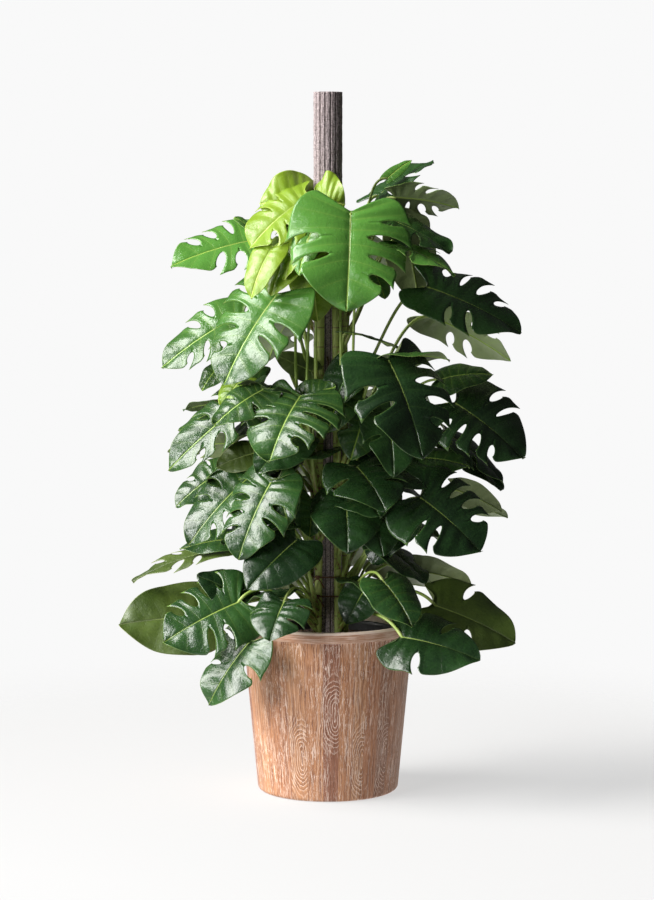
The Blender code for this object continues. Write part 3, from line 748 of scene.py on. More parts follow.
# A leaf: the height where its stalk leaves the stem, the places (bearing, reach, height above the
# soil) of its blade's base and tip, its width, its roll (left edge up), the bend of its midrib,
# the fold of its halves, the curl of its edges (degrees), how many deep notches each side has,
# and the ring its reach is counted from: round the stems, or the planter's rim.
STEM, RIM = POLE_RADIUS + 2 * STEM_RADIUS, PLANTER_TOP_RADIUS
Leaf = namedtuple("Leaf", "attach base tip width roll bend fold curl notches ring", defaults=[STEM])
LEAVES = (
    (0.83, (236, 0.027, 0.965), (209, 0.142, 0.855), 0.17, -25, 30, 8, -30, 2),
    (0.72, (229, 0.042, 0.895), (227, 0.127, 0.755), 0.12, -10, 28, 8, -25, 1),
    (0.74, (288, 0.107, 0.935), (280, 0.172, 0.725), 0.25, 0, 28, 8, -30, 2),
    (0.75, (38, 0.087, 0.965), (29, 0.217, 1.045), 0.14, 10, 20, 10, -20, 1),
    (0.715, (356, 0.092, 0.965), (4, 0.237, 0.94), 0.12, -35, 20, 10, -20, 2),
    (0.7, (334, 0.087, 0.92), (346, 0.222, 0.845), 0.16, 15, 25, 8, -30, 1),
    (0.62, (324, 0.132, 0.865), (332, 0.257, 0.8), 0.12, 5, 20, 10, -20, 1),
    (0.66, (22, 0.137, 0.885), (24, 0.172, 0.73), 0.11, -60, 25, 10, -20, 0),
    (0.51, (5, 0.167, 0.77), (0, 0.372, 0.67), 0.18, 38, 22, 8, -20, 2),
    (0.42, (22, 0.192, 0.705), (8, 0.357, 0.605), 0.13, -40, 20, 10, -20, 2),
    (0.36, (305, 0.172, 0.625), (306, 0.287, 0.42), 0.23, 8, 30, 6, -30, 2),
    (0.21, (356, 0.227, 0.52), (352, 0.377, 0.4), 0.21, 40, 25, 8, -25, 2),
    (0.16, (13, 0.222, 0.425), (7, 0.337, 0.32), 0.11, 25, 25, 8, -25, 1),
    (0.185, (353, 0.142, 0.4), (355, 0.262, 0.38), 0.09, 30, 25, 10, -20, 0),
    (0.08, (328, 0.182, 0.325), (334, 0.312, 0.21), 0.22, 35, 28, 8, -25, 2),
    (0.118, (16, 0.242, 0.295), (11, 0.357, 0.255), 0.08, -35, 20, 10, -10, 0),
    (0.07, (16, -0.01, 0.145), (7, 0.13, 0.11), 0.11, -40, 22, 10, -15, 0, RIM),
    (0.03, (348, 0.045, 0.08), (349, 0.225, 0), 0.17, 42, 25, 6, -20, 1, RIM),
    (0.02, (312, 0.04, 0.03), (327, 0.195, -0.015), 0.17, 30, 28, 6, -25, 1, RIM),
    (0.052, (305, 0.015, 0.15), (308, 0.1, 0.06), 0.12, 10, 28, 10, -30, 0, RIM),
    (0.19, (297, 0.087, 0.39), (299, 0.202, 0.305), 0.17, 8, 32, 8, -30, 1),
    (0.16, (288, 0.077, 0.32), (281, 0.167, 0.215), 0.15, 0, 32, 8, -30, 0),
    (0.225, (245, 0.027, 0.315), (248, 0.057, 0.235), 0.1, -20, 25, 30, -10, 0),
    (0.118, (305, 0.102, 0.295), (302, 0.172, 0.205), 0.12, 0, 32, 6, -30, 0),
    (0.068, (245, 0.107, 0.235), (229, 0.212, 0.135), 0.14, -35, 28, 10, -30, 0),
    (0.17, (227, 0.127, 0.36), (222, 0.207, 0.195), 0.16, -20, 28, 8, -30, 2),
    (0.2, (199, 0.132, 0.36), (195, 0.262, 0.215), 0.16, -35, 25, 8, -20, 2),
    (0.115, (170, 0.187, 0.365), (175, 0.287, 0.285), 0.11, -40, 22, 8, -20, 1),
    (0.3, (249, 0.112, 0.545), (243, 0.222, 0.41), 0.21, -5, 32, 8, -35, 2),
    (0.55, (223, 0.097, 0.76), (212, 0.212, 0.565), 0.21, -28, 28, 8, -25, 2),
    (0.47, (186, 0.132, 0.715), (183, 0.312, 0.595), 0.15, -40, 22, 8, -20, 2),
    (0.66, (176, 0.092, 0.875), (183, 0.292, 0.815), 0.16, -38, 22, 12, -25, 2),
    (0.25, (167, 0.167, 0.51), (171, 0.282, 0.45), 0.11, -20, 22, 8, -25, 0),
    (0.17, (154, 0.177, 0.42), (164, 0.322, 0.4), 0.1, 35, 22, 8, -20, 1),
    (0.36, (199, 0.107, 0.545), (190, 0.302, 0.375), 0.14, -45, 22, 8, -20, 2),
    (0.04, (175, 0.172, 0.195), (177, 0.382, 0.12), 0.11, -12, 25, 10, -20, 2),
    (0.02, (176, 0.08, 0.045), (181, 0.27, 0.03), 0.17, -62, 18, 4, -15, 0, RIM),
    (0.02, (215, 0.04, 0.1), (204, 0.195, 0.015), 0.18, -45, 28, 6, -25, 2, RIM),
    (0.052, (245, 0.03, 0.11), (245, 0.1, 0.035), 0.13, -5, 28, 10, -35, 1, RIM),
    (0.036, (225, 0.045, 0.02), (213, 0.115, -0.12), 0.15, -25, 25, 6, -20, 1, RIM),
    (0.43, (301, 0.057, 0.61), (275, 0.082, 0.52), 0.1, 0, 28, 8, -25, 0),
    (0.3, (326, 0.102, 0.51), (306, 0.187, 0.375), 0.13, 0, 28, 8, -25, 1),
    (0.64, (67, 0.102, 0.865), (68, 0.307, 0.765), 0.2, 0, 30, 8, -25, 2),
    (0.48, (115, 0.117, 0.705), (111, 0.337, 0.585), 0.21, 0, 30, 8, -25, 2),
    (0.37, (56, 0.132, 0.565), (65, 0.347, 0.445), 0.2, 0, 30, 8, -25, 2),
    (0.2, (108, 0.142, 0.405), (103, 0.362, 0.265), 0.2, 0, 30, 8, -25, 2),
)

# The borders between a half blade's strips, as places on its edge from the cleft at the base (0)
# to the tip (1). A vein runs up the middle of each strip.
BORDERS = np.array((0.0, 0.13, 0.25, 0.36, 0.49, 0.62, 0.74, 0.87, 1.0))
STRIP_COLUMNS = 7
ROWS = 26
# How a blade with no, one or two deep notches is split on its plainer and its busier side:
# {border: where the slit starts}, and pierced: {border: (inner end, outer end)}, both from 0 on
# the midrib to 1 on the edge.
SLITS = (
    ({}, {}),
    ({4: 0.44}, {5: 0.40, 3: 0.48}),
    ({5: 0.36, 4: 0.44}, {4: 0.34, 5: 0.40, 6: 0.48, 3: 0.50}),
)
WINDOWS = (({}, {}), ({}, {}), ({4: (0.30, 0.72)}, {}))
SLIT_WIDTH = (0.40, 0.78)
WINDOW_WIDTH = 0.30
SLIT_STRAYS = 0.06
LOBE_BLUNT, LOBE_SHARP, LOBE_DRAWN = 0.15, 0.06, 0.05
BLADE_THICKNESS = 0.0009
BLADE_FULLNESS = 1.08
FACE_LEANS_OUT = 0.35
# What all blades add to their own fold and curl, in degrees, and how far they puff up, sink
# along the midrib and wave at the edge, as shares of their width.
FOLD_MORE, CURL_MORE = 5, -14
PUFF = (0.005, 0.014)
MIDRIB_SINK = 0.004
MIDRIB_TROUGH = 0.025
WAVE = 0.036
# The distance to a blade's edge is counted no further than this.
FAR = 0.05
# How wide a side vein starts, where the midrib fades out, the cells of the net to a metre, and how
# much dimmer a vein is on the low, old leaves.
VEIN_LINE = 0.0012
MIDRIB_LINE = (0.0008, 0.0024)
NET_CELLS = 210.0
OLD_VEIN = 0.42
OLD_BELOW, NEW_ABOVE = 0.55, 0.95

# The uppersides, undersides, veins and edges of the four leaf finishes. The dark one is partly the
# darker green of old leaves and partly painted shade for leaves in shadow; the olive one is partly
# its own colour and partly painted light shining through the blade.
LEAF_GREEN = dict(deep=(0.013, 0.048, 0.012), pale=(0.032, 0.098, 0.022), fresh_and_lit=(0.115, 0.345, 0.048),
                  vein=(0.36, 0.56, 0.10), under=(0.300, 0.380, 0.180), edge=(0.22, 0.36, 0.08))
# Dark: partly the darker green of older leaves, partly painted shade for leaves in shadow.
LEAF_DARK_SHADED = dict(deep=(0.008, 0.028, 0.008), pale=(0.020, 0.062, 0.015), fresh_and_lit=(0.028, 0.098, 0.017),
                 vein=(0.080, 0.17, 0.04), under=(0.220, 0.270, 0.130), edge=(0.12, 0.22, 0.05))
# Olive is partly the leaf's own colour and partly painted light shining through the blade.
LEAF_OLIVE = dict(deep=(0.048, 0.086, 0.010), pale=(0.090, 0.142, 0.022), fresh_and_lit=(0.300, 0.390, 0.085),
                  vein=(0.24, 0.32, 0.10), under=(0.260, 0.330, 0.140), edge=(0.30, 0.36, 0.11))
LEAF_YOUNG = dict(deep=(0.090, 0.200, 0.006), pale=(0.220, 0.370, 0.016), fresh_and_lit=(0.260, 0.420, 0.020),
                  vein=(0.60, 0.74, 0.18), under=(0.320, 0.460, 0.045), edge=(0.60, 0.72, 0.14))
# The heights between which blades go from their own tone to a lighter one: partly the tone of
# new growth, partly painted light on the high blades that face the lamps.
FRESH_AND_LIT_FROM, FRESH_AND_LIT_TO = 0.86, 1.22
STALK_GREEN = (0.300, 0.440, 0.075)
STALK_PALE = (0.58, 0.68, 0.25)
STALK_DRY = (0.20, 0.085, 0.035)
YOUNG_STALK = ((0.26, 0.42, 0.06), (0.45, 0.60, 0.14))
UNDER_DULLER = 0.16

# Which finish each leaf has; the others are plain green. The dark finish is painted shade on the
# leaves that stand in shadow, over their older, darker green.
YOUNG = {1, 2}
# Olive leaves: partly painted light shining through them.
OLIVE = {8, 17, 18, 34, 36, 37}
DARK_SHADED = {4, 6, 9, 11, 12, 13, 15, 19, 21, 22, 24, 25, 39, 41, 42, 45}


def spot(bearing, reach, height, ring):
    """A point at a bearing, its reach outside a ring, and its height above the soil."""
    return compass(np.float64(bearing)) * (ring + reach) + UP * (SOIL_TOP + height)


def blade_axes(leaf):
    """The blade's base, the direction to its tip, its left side, its upper face and its length."""
    base, tip = spot(*leaf.base, leaf.ring), spot(*leaf.tip, leaf.ring)
    along = unit(tip - base)
    outward = unit((base + tip) * (1, 1, 0))
    lean = UP + FACE_LEANS_OUT * outward
    face = unit(lean - (lean @ along) * along)
    side = np.cross(face, along)
    turn = math.radians(leaf.roll)
    face, side = (
        face * math.cos(turn) - side * math.sin(turn),
        side * math.cos(turn) + face * math.sin(turn),
    )
    return base, along, side, face, float(np.linalg.norm(tip - base))


def blade_point(leaf, axes, u, v, lift=0.0):
    """The blade's surface at u lengths along the midrib and v widths to the left, lifted by lift.

    The midrib is a circular arc from base to tip: base + along (L/2 + R sin t) + face R (cos t -
    cos(bend/2)), t = bend (u - 1/2). Each half leaves it at the fold angle and curls further with
    |v|: side |v| W cos(fold + curl |v|) + upper |v| W sin(fold + curl |v|).
    """
    base, along, side, face, length = axes
    u, v, lift = np.broadcast_arrays(np.asarray(u, float), v, lift)
    bend = math.radians(leaf.bend)
    radius = length / (2 * math.sin(bend / 2))
    turn = (bend * (u - 0.5))[..., None]
    middle = base + along * (length / 2 + radius * np.sin(turn))
    middle = middle + face * radius * (np.cos(turn) - math.cos(bend / 2))
    upper = along * np.sin(turn) + face * np.cos(turn)
    slope = np.radians(leaf.fold + FOLD_MORE + (leaf.curl + CURL_MORE) * np.abs(v))[..., None]
    across = (v * leaf.width * BLADE_FULLNESS)[..., None]
    sheet = middle + side * across * np.cos(slope) + upper * np.abs(across) * np.sin(slope)
    return sheet + upper * lift[..., None]


def margin(a):
    """The outline: u = 0.33 - 0.59 cos(pi a) + the cleft + the drawn-out tip, v a half width."""
    turn = np.pi * a
    u = 0.33 - 0.59 * np.cos(turn) + 0.26 * np.exp(-((a / 0.07) ** 2)) + 0.08 * a**10
    v = 0.5 * np.abs(np.sin(turn)) ** 0.64 * (1.06 - 0.60 * a**2.5)
    return u, v


def vein_root(a):
    """How far along the midrib the vein to the edge point a starts."""
    return np.maximum(0.0, (a - 0.12) / 0.88) ** 1.5


def border_line(window, slit, width):
    """Where each row crosses a border, from 0 on the midrib to 1 on the edge, and its gap there.

    A window is as wide as sin(pi x)^0.7 along it, and a slit as sqrt(x (2 - x)) (1 - 0.45 x^2), so
    that its lobes close towards each other at the edge. Rows crowd towards the round inner ends.
    """
    knots, places = [0, ROWS], [0.0, 1.0]
    if window:
        first = max(3, round(ROWS * 0.8 * window[0]))
        last = first + round(10 + 8 * (window[1] - window[0]))
        knots[1:1], places[1:1] = [first, last], window
    if slit:
        first = round(ROWS * (0.72 * slit + 0.06))
        knots.insert(1, first)
        places.insert(1, slit)
    row = np.arange(ROWS + 1)
    t = np.interp(row, knots, places)
    gap = np.zeros(ROWS + 1)
    if window:
        inside = (row >= first) & (row <= last)
        x = (1 - np.cos(np.pi * (row[inside] - first) / (last - first))) / 2
        t[inside] = window[0] + (window[1] - window[0]) * x
        gap[inside] = WINDOW_WIDTH * np.sin(np.pi * x) ** 0.7
    if slit:
        x = ((row[first:] - first) / (ROWS - first)) ** 1.6
        t[first:] = slit + (1 - slit) * x
        gap[first:] = width * np.sqrt(x * (2 - x)) * (1 - 0.45 * x**2)
    return t, gap


def half_blade(leaf, axes, hand, slits, windows, rng):
    """The strips of one half blade as patches, with their distances to vein, midrib and edge.

    Along a strip t runs from midrib to edge and x from one border to the next. The edge point is
    a = middle + half width * x, closed in by the gaps, and the surface point is
    u = root(a) + (edge_u(a) - root(a)) t^1.3, v = edge_v(a) t. It lifts by the puff between the
    veins, sinks at the midrib, and waves more and more towards the edge. Where a slit opens, the
    corner of a lobe nearer the base is rounded off and the one nearer the tip is drawn to a point.
    """
    widths = rng.uniform(*SLIT_WIDTH, len(BORDERS))
    lines = [border_line(windows.get(b), slits.get(b), widths[b]) for b in range(len(BORDERS))]
    phase, beat = rng.uniform(0, 2 * np.pi), rng.uniform(1.4, 2.6)
    swing = rng.normal(0.0, 0.5, len(BORDERS) - 1)
    puffs = rng.uniform(*PUFF, len(BORDERS))
    x = np.linspace(-1.0, 1.0, STRIP_COLUMNS)[None, :]
    middles = (BORDERS[1:] + BORDERS[:-1]) / 2
    width = leaf.width * BLADE_FULLNESS
    patches = []
    for index, middle in enumerate(middles):
        (t_low, gap_low), (t_high, gap_high) = lines[index], lines[index + 1]
        gap = np.where(x < 0, gap_low[:, None], gap_high[:, None])
        t = t_low[:, None] * (1 - x) / 2 + t_high[:, None] * (1 + x) / 2
        a = middle + (BORDERS[index + 1] - middle) * x * (1 - gap)
        blunt = (gap_low[-1] > 0) * np.clip(-x, 0, 1) ** 2
        sharp = (gap_high[-1] > 0) * np.clip(x, 0, 1) ** 2
        reach = t * (1 + (LOBE_SHARP * sharp - LOBE_BLUNT * blunt) * t**5)
        edge_u, edge_v = margin(a)
        root = vein_root(a)
        u = root + (edge_u - root) * reach**1.3 + LOBE_DRAWN * sharp * t**6
        v = edge_v * reach
        puff = (1 - np.cos(np.pi * x)) / 2 * np.sin(np.pi * np.clip(t, 0, 1) ** 0.8) ** 0.7
        puff = np.where(x < 0, puffs[index], puffs[index + 1]) * puff
        sink = -MIDRIB_SINK * np.exp(-((v / MIDRIB_TROUGH) ** 2))
        swings = np.interp(a, middles, swing)
        wave = WAVE * reach**2.2 * (np.sin(2 * np.pi * beat * a + phase) + swings)
        points = blade_point(leaf, axes, u, hand * v, width * (puff + sink + wave))
        centre = points[:, STRIP_COLUMNS // 2][:, None]
        edge = np.linalg.norm(points - points[-1:], axis=2)
        for side, gaps in ((0, gap_low), (-1, gap_high)):
            off = np.linalg.norm(points - points[:, side][:, None], axis=2)
            edge = np.where(gaps[:, None] > 0.02, np.minimum(edge, off), edge)
        values = {
            "vein": np.linalg.norm(points - centre, axis=2),
            "rib": v * width,
            "edge": np.minimum(edge, FAR),
            "way": reach,
        }
        uv = np.stack([u * axes[4], hand * v * width], axis=2)
        if hand < 0:
            points, uv = points[:, ::-1], uv[:, ::-1]
            values = {key: value[:, ::-1] for key, value in values.items()}
        patches.append(Patch(points, uv, 0, values))
    return patches


def dimmed(colour, share):
    """A colour darkened to a share of itself."""
    return tuple(share * part for part in colour)


def leaf_surface(name, look, roughness, upper):
    """A waxy leaf face: tone by large soft clouds, pale veins, a yellow-green edge line.

    The midrib is a band of the distance to it, each side vein is a line that thins towards the
    edge, and a fine net lies between them. The veins sink into the upper side and stand out below.
    """
    face = Finish(name, roughness)
    uv, place = face.own_uv(), place_in(face)
    vein, rib, edge, way = (carried(face, key) for key in ("vein", "rib", "edge", "way"))
    mottle = face.noise(uv, 160.0, 4.0, 0.65)
    tone = face.plus(face.noise(place, 9.0, 3.0, 0.6), face.times(face.minus(mottle, 0.5), 0.5))
    tone = face.ramp(tone, 0.34, 0.68)
    height = face.add("ShaderNodeSeparateXYZ", _0=place).outputs[2]
    if upper:
        blade = face.blend(tone, look["deep"], look["pale"])
        # Partly painted light: higher blades turn lighter, partly as new growth and partly as if lit
        # more.
        blade = face.blend(face.ramp(height, FRESH_AND_LIT_FROM, FRESH_AND_LIT_TO, 0.0, 0.8), blade, look["fresh_and_lit"])
    else:
        blade = face.blend(tone, dimmed(look["under"], 0.8), look["under"])
    line = face.math("DIVIDE", vein, face.times(face.minus(1.15, way), VEIN_LINE))
    halo = face.ramp(vein, 0.0, 0.008, 0.07, 0.0)
    side_vein = face.most(face.times(face.ramp(line, 0.35, 1.2, 1.0, 0.0), 0.26), halo)
    midrib = face.ramp(rib, *MIDRIB_LINE, 0.95, 0.0)
    to_edge = {"feature": "DISTANCE_TO_EDGE"}
    cells = face.add("ShaderNodeTexVoronoi", to_edge, Vector=uv, Scale=NET_CELLS)
    net = face.ramp(cells.outputs["Distance"], 0.0, 0.09, 1.0, 0.0)
    age = face.ramp(height, OLD_BELOW, NEW_ABOVE)
    vein_colour = face.blend(age, dimmed(look["vein"], OLD_VEIN), look["vein"])
    colour = face.blend(face.most(face.times(net, 0.10), side_vein, midrib), blade, vein_colour)
    colour = face.blend(face.ramp(edge, 0.0003, 0.0010, 0.7, 0.0), colour, look["edge"])
    gloss = face.ramp(face.noise(uv, 55.0), 0.3, 0.7, roughness - 0.05, roughness + 0.07)
    face.shade(Base_Color=colour, Roughness=gloss, Specular_IOR_Level=0.62 if upper else 0.4)
    sunk = -1.0 if upper else 1.0
    relief = face.plus(
        face.times(side_vein, sunk), face.times(midrib, 1.4 * sunk), face.times(net, 0.12 * sunk),
        face.times(face.noise(uv, 75.0, 2.0, 0.5, 1.2), 1.5), face.times(mottle, 0.12),
    )
    face.bump(relief, 0.55, 0.0011)
    return face.material


def edge_surface(name, colour):
    """The cut edge of a blade, a thin pale line."""
    edge = Finish(name, 0.5)
    share = edge.ramp(edge.noise(place_in(edge), 120.0), 0.4, 0.7)
    edge.shade(Base_Color=edge.blend(share, colour, dimmed(colour, 0.6)))
    return edge.material


def stalk_surface(name, green, pale):
    """A smooth green stalk, pale-flecked, paler at its knee and dry and brown along its sheath."""
    skin = Finish(name, 0.42)
    uv = skin.own_uv()
    fleck = skin.ramp(skin.grain(uv, 500.0, 160.0, 2.0, 0.6), 0.56, 0.70)
    cloud = skin.ramp(skin.noise(place_in(skin), 22.0, 3.0, 0.6), 0.35, 0.65)
    knee = skin.times(carried(skin, "knee"), 0.7)
    share = skin.most(skin.times(cloud, 0.35), skin.times(fleck, 0.5), knee)
    torn = skin.ramp(skin.grain(uv, 260.0, 60.0, 3.0, 0.6), 0.44, 0.58)
    dry = skin.times(carried(skin, "sheath"), torn)
    skin.shade(Base_Color=skin.blend(dry, skin.blend(share, green, pale), STALK_DRY))
    skin.bump(skin.grain(uv, 900.0, 60.0), 0.4, 0.0006)
    return skin.material


def leaf_finishes(age, look, roughness):
    """The upper face, underside and edge of a blade of one finish; the dark finish is partly painted
    shade.
    """
    upper = leaf_surface(f"{age}_leaf_face", look, roughness, True)
    under = leaf_surface(f"{age}_leaf_underside", look, roughness + UNDER_DULLER, False)
    return [upper, under, edge_surface(f"{age}_leaf_edge", look["edge"])]


FINISHES = {
    "green_leaf": leaf_finishes("green", LEAF_GREEN, 0.22),
    # The dark finish: partly older growth, partly painted shade.
    "dark_leaf": leaf_finishes("dark", LEAF_DARK_SHADED, 0.26),
    "olive_leaf": leaf_finishes("olive", LEAF_OLIVE, 0.42),
    "young_leaf": leaf_finishes("young", LEAF_YOUNG, 0.34),
}
STALKS = {
    "green_leaf": stalk_surface("leaf_stalk", STALK_GREEN, STALK_PALE),
    "young_leaf": stalk_surface("young_stalk", *YOUNG_STALK),
}


def bezier(start, towards, before, end, count):
    """Points along the cubic curve that leaves start for towards, and comes to end from before."""
    t = np.linspace(0.0, 1.0, count)[:, None]
    return (
        (1 - t) ** 3 * start + 3 * (1 - t) ** 2 * t * towards + 3 * (1 - t) * t**2 * before + t**3 * end
    )


# How a stalk leaves the stem and comes to the blade, as shares of the span between its ends.
STALK_REACH = 0.25
STALK_RISE = 0.35
STALK_ARCH = 0.04
RIM_STALK_ARCH = 0.30
STALK_RADIUS = 0.0038
SHEATH_RADIUS = 0.0072
KNEE_RADIUS = 0.0040
KNEE_BEFORE_BLADE, KNEE_LENGTH = 0.012, 0.010
SHEATH_SHARE = 0.34
STALK_CHANNEL = 0.16
RIB_FROM, RIB_TO = 0.05, 0.93
MIDRIB_RADIUS = 0.0023


def stalk_patch(leaf, axes):
    """The stalk as a tube from inside its stem, up and out to the blade, then along under it.

    Its radius falls from the sheath's over a third of the way, swells at the knee and tapers
    under the blade to the tip.
    """
    base, _, _, face, length = axes

    def turn_to(stem):
        at = stem.bearing + stem.winding * leaf.attach
        return abs((at - leaf.base[0] + 180) % 360 - 180)

    stem = min((s for s in STEMS if s.height > leaf.attach + 0.01), key=turn_to)
    middle = stem_centre(stem, leaf.attach)
    outward = unit((base - middle) * (1, 1, 0))
    start = middle + outward * (STEM_RADIUS * 0.4)
    end = blade_point(leaf, axes, 0.03, 0.0) - face * (BLADE_THICKNESS + MIDRIB_RADIUS * 0.7)
    span = np.linalg.norm(end - start)
    arch = RIM_STALK_ARCH if leaf.ring == RIM else STALK_ARCH
    towards = start + (outward * STALK_REACH + UP * STALK_RISE) * span
    before = end - outward * STALK_REACH * span + UP * arch * span
    stalk = bezier(start, towards, before, end, 48)
    u = np.linspace(RIB_FROM, RIB_TO, 30)
    depth = BLADE_THICKNESS + MIDRIB_SINK * leaf.width + 0.0002
    under = blade_point(leaf, axes, u, 0.0, -depth)
    s = np.linspace(0.0, 1.0, 48)
    near = np.linalg.norm(stalk - end, axis=1)
    sheath = np.clip(1 - s / SHEATH_SHARE, 0, 1)
    knee = np.exp(-(((near - KNEE_BEFORE_BLADE) / KNEE_LENGTH) ** 2))
    thick = STALK_RADIUS + (SHEATH_RADIUS - STALK_RADIUS) * sheath**0.7
    thick = thick + (KNEE_RADIUS - STALK_RADIUS) * knee
    scale = min(1.0, 0.62 + 0.38 * length / 0.2)
    rib = MIDRIB_RADIUS * (1 - 0.82 * (u - u[0]) / (u[-1] - u[0]))
    path = np.concatenate([stalk, under])
    radius = np.concatenate([thick, rib]) * scale
    none = np.zeros(len(u))
    values = {"sheath": np.concatenate([sheath, none]), "knee": np.concatenate([knee, none])}
    return swept(path, radius, np.cross(outward, UP), 10, dent=STALK_CHANNEL, values=values)


def grow(name, leaf, finish, seed):
    """A blade and its stalk, as two pieces. The blade gets its thickness downwards from its face."""
    axes = blade_axes(leaf)
    rng = np.random.default_rng(seed)
    patches = []
    busier = seed % 2
    for hand, side in ((1, busier), (-1, 1 - busier)):
        slits = SLITS[leaf.notches][side]
        slits = {b: s + rng.uniform(-SLIT_STRAYS, SLIT_STRAYS) for b, s in slits.items()}
        patches += half_blade(leaf, axes, hand, slits, WINDOWS[leaf.notches][side], rng)
    blade = sewn(f"{name}_blade", patches, FINISHES[finish], outward=False)
    solid = blade.modifiers.new("thickness", "SOLIDIFY")
    solid.thickness = BLADE_THICKNESS
    solid.offset = -1.0
    solid.material_offset = 1
    solid.material_offset_rim = 2
    skin = STALKS.get(finish, STALKS["green_leaf"])
    stalk = sewn(f"{name}_stalk", [stalk_patch(leaf, axes)], [skin])
    return blade, stalk


def finish_of(number):
    """The material slot of a numbered leaf."""
    for name, numbers in (("young_leaf", YOUNG), ("olive_leaf", OLIVE), ("dark_leaf", DARK_SHADED)):
        if number in numbers:
            return name
    return "green_leaf"


for number, row in enumerate(LEAVES, 1):
    for piece in grow(f"leaf_{number:02d}", Leaf(*row), finish_of(number), number):
        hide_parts(f"leaf_{number:02d}")


# ---- The smaller leaves ------------------------------------------------------------------------
# Smaller blades on side stalks, which fill the gaps between the big ones: lime where they are
# new at the top, olive where the light comes through them, and dark in the shade.
SMALL_LEAVES = {
    "young_leaf": (
        (0.83, (249, 0.005, 0.955), (298, 0.03, 0.95), 0.13, 62, 60, 10, -25, 0),
        (0.8, (206, 0, 0.95), (188, 0.1, 0.95), 0.15, -62, 55, 8, -25, 0),
        (0.43, (195, 0.14, 0.575), (197, 0.19, 0.515), 0.08, -30, 26, 10, -25, 0),
        (0.78, (238, 0.035, 0.905), (222, 0.115, 0.755), 0.07, -35, 40, 14, -30, 0),
        (0.72, (250, 0.045, 0.83), (258, 0.055, 0.7), 0.11, 10, 34, 14, -30, 0),
        (0.36, (226, 0.12, 0.86), (222, 0.17, 0.75), 0.08, -20, 34, 12, -30, 0),
        (0.34, (242, 0.085, 0.87), (238, 0.12, 0.79), 0.07, 10, 34, 12, -30, 0),
    ),
    "green_leaf": (
        (0.45, (255, 0.075, 0.9), (250, 0.13, 0.8), 0.07, 0, 24, 10, -20, 0),
        (0.4, (285, 0.08, 0.88), (290, 0.14, 0.78), 0.07, 0, 24, 10, -20, 0),
        (0.42, (304, 0.11, 0.82), (305, 0.16, 0.75), 0.07, 0, 24, 10, -20, 0),
        (0.66, (168, 0.095, 0.875), (169, 0.16, 0.92), 0.06, -20, 25, 12, -20, 0),
        (0.75, (21, 0.09, 1.005), (26, 0.155, 1.045), 0.035, 20, 18, 14, -20, 0),
        (0.36, (182, 0.19, 0.595), (184, 0.225, 0.545), 0.06, -35, 26, 10, -25, 0),
        (0.34, (221, 0.135, 0.555), (210, 0.23, 0.48), 0.11, -25, 26, 8, -30, 1),
        (0.3, (170, 0.195, 0.485), (171, 0.28, 0.445), 0.06, -30, 22, 12, -25, 0),
        (0.33, (243, 0.075, 0.535), (278, 0.07, 0.56), 0.08, 35, 30, 8, -30, 0),
        (0.36, (288, 0.055, 0.56), (270, 0.09, 0.465), 0.1, -5, 30, 8, -30, 0),
        (0.33, (314, 0.075, 0.525), (290, 0.09, 0.405), 0.11, -10, 28, 8, -30, 1),
        (0.44, (311, 0.135, 0.62), (330, 0.25, 0.62), 0.13, -25, 34, 8, -30, 0),
        (0.3, (355, 0.195, 0.57), (357, 0.31, 0.58), 0.11, 25, 28, 8, -30, 0),
        (0.07, (180, 0.135, 0.22), (180, 0.275, 0.195), 0.08, -30, 22, 10, -25, 0),
        (0.18, (230, 0.12, 0.365), (244, 0.14, 0.27), 0.09, 20, 26, 8, -25, 1),
    ),
    "olive_leaf": (
        (0.7, (12, 0.095, 0.925), (13, 0.18, 0.895), 0.09, -30, 22, 10, -25, 0),
        (0.2, (191, 0.115, 0.41), (189, 0.195, 0.38), 0.08, -45, 22, 10, -20, 0),
        (0.36, (240, 0.02, 0.59), (204, 0.075, 0.625), 0.055, -60, 24, 10, -20, 0),
        (0.12, (6, 0.23, 0.325), (4, 0.335, 0.275), 0.08, -50, 22, 10, -20, 0),
    ),
    # Dark: painted shade, for small leaves in the shadow of the big ones.
    "dark_leaf": (
        (0.33, (230, 0.04, 0.535), (205, 0.165, 0.565), 0.15, 15, 24, 8, -30, 1),
        (0.34, (172, 0.175, 0.515), (175, 0.27, 0.5), 0.07, 20, 22, 10, -25, 0),
        (0.18, (177, 0.15, 0.37), (178, 0.23, 0.34), 0.08, 15, 22, 8, -25, 0),
        (0.22, (268, 0, 0.415), (210, 0.11, 0.37), 0.15, 20, 24, 8, -25, 0),
        (0.5, (300, 0.03, 0.675), (335, 0.115, 0.64), 0.07, -15, 26, 6, -20, 0),
        (0.16, (9, 0.21, 0.45), (7, 0.34, 0.335), 0.11, 25, 26, 8, -25, 1),
        (0.09, (337, 0.13, 0.3), (314, 0.09, 0.175), 0.13, 15, 26, 8, -25, 0),
        (0.05, (309, 0.08, 0.125), (287, 0.085, 0.05), 0.09, -10, 26, 8, -25, 0),
        (0.06, (230, 0.08, 0.12), (216, 0.17, 0.095), 0.13, 15, 26, 8, -25, 0),
        (0.05, (207, 0.145, 0.09), (199, 0.25, 0.15), 0.11, -35, 34, 8, -30, 0),
        (0.2, (195, 0.065, 0.37), (197, 0.125, 0.3), 0.12, -10, 26, 8, -25, 0),
        (0.22, (345, 0.025, 0.475), (0, 0.11, 0.355), 0.14, 20, 24, 8, -25, 0),
        (0.25, (84, 0.01, 0.525), (32, 0.1, 0.42), 0.15, 20, 24, 8, -25, 0),
    ),
}
# The shade leaves stand close round the sides and back of the pole, each a golden angle on.
# Their dark finish is painted shade, for the shadow among the stems.
SHADE_LEAVES = 26
SHADE_LOW, SHADE_HIGH = 0.03, 0.42
SHADE_BEARINGS = (305, 235 + 360)
SHADE_REACH, SHADE_LENGTH, SHADE_WIDTH = (0.045, 0.085), (0.11, 0.16), (0.12, 0.16)
SHADE_RISE = 0.10
GOLDEN = 0.618
SMALL_SEED, SHADE_SEED, SHADE_PLACES = 100, 200, 400


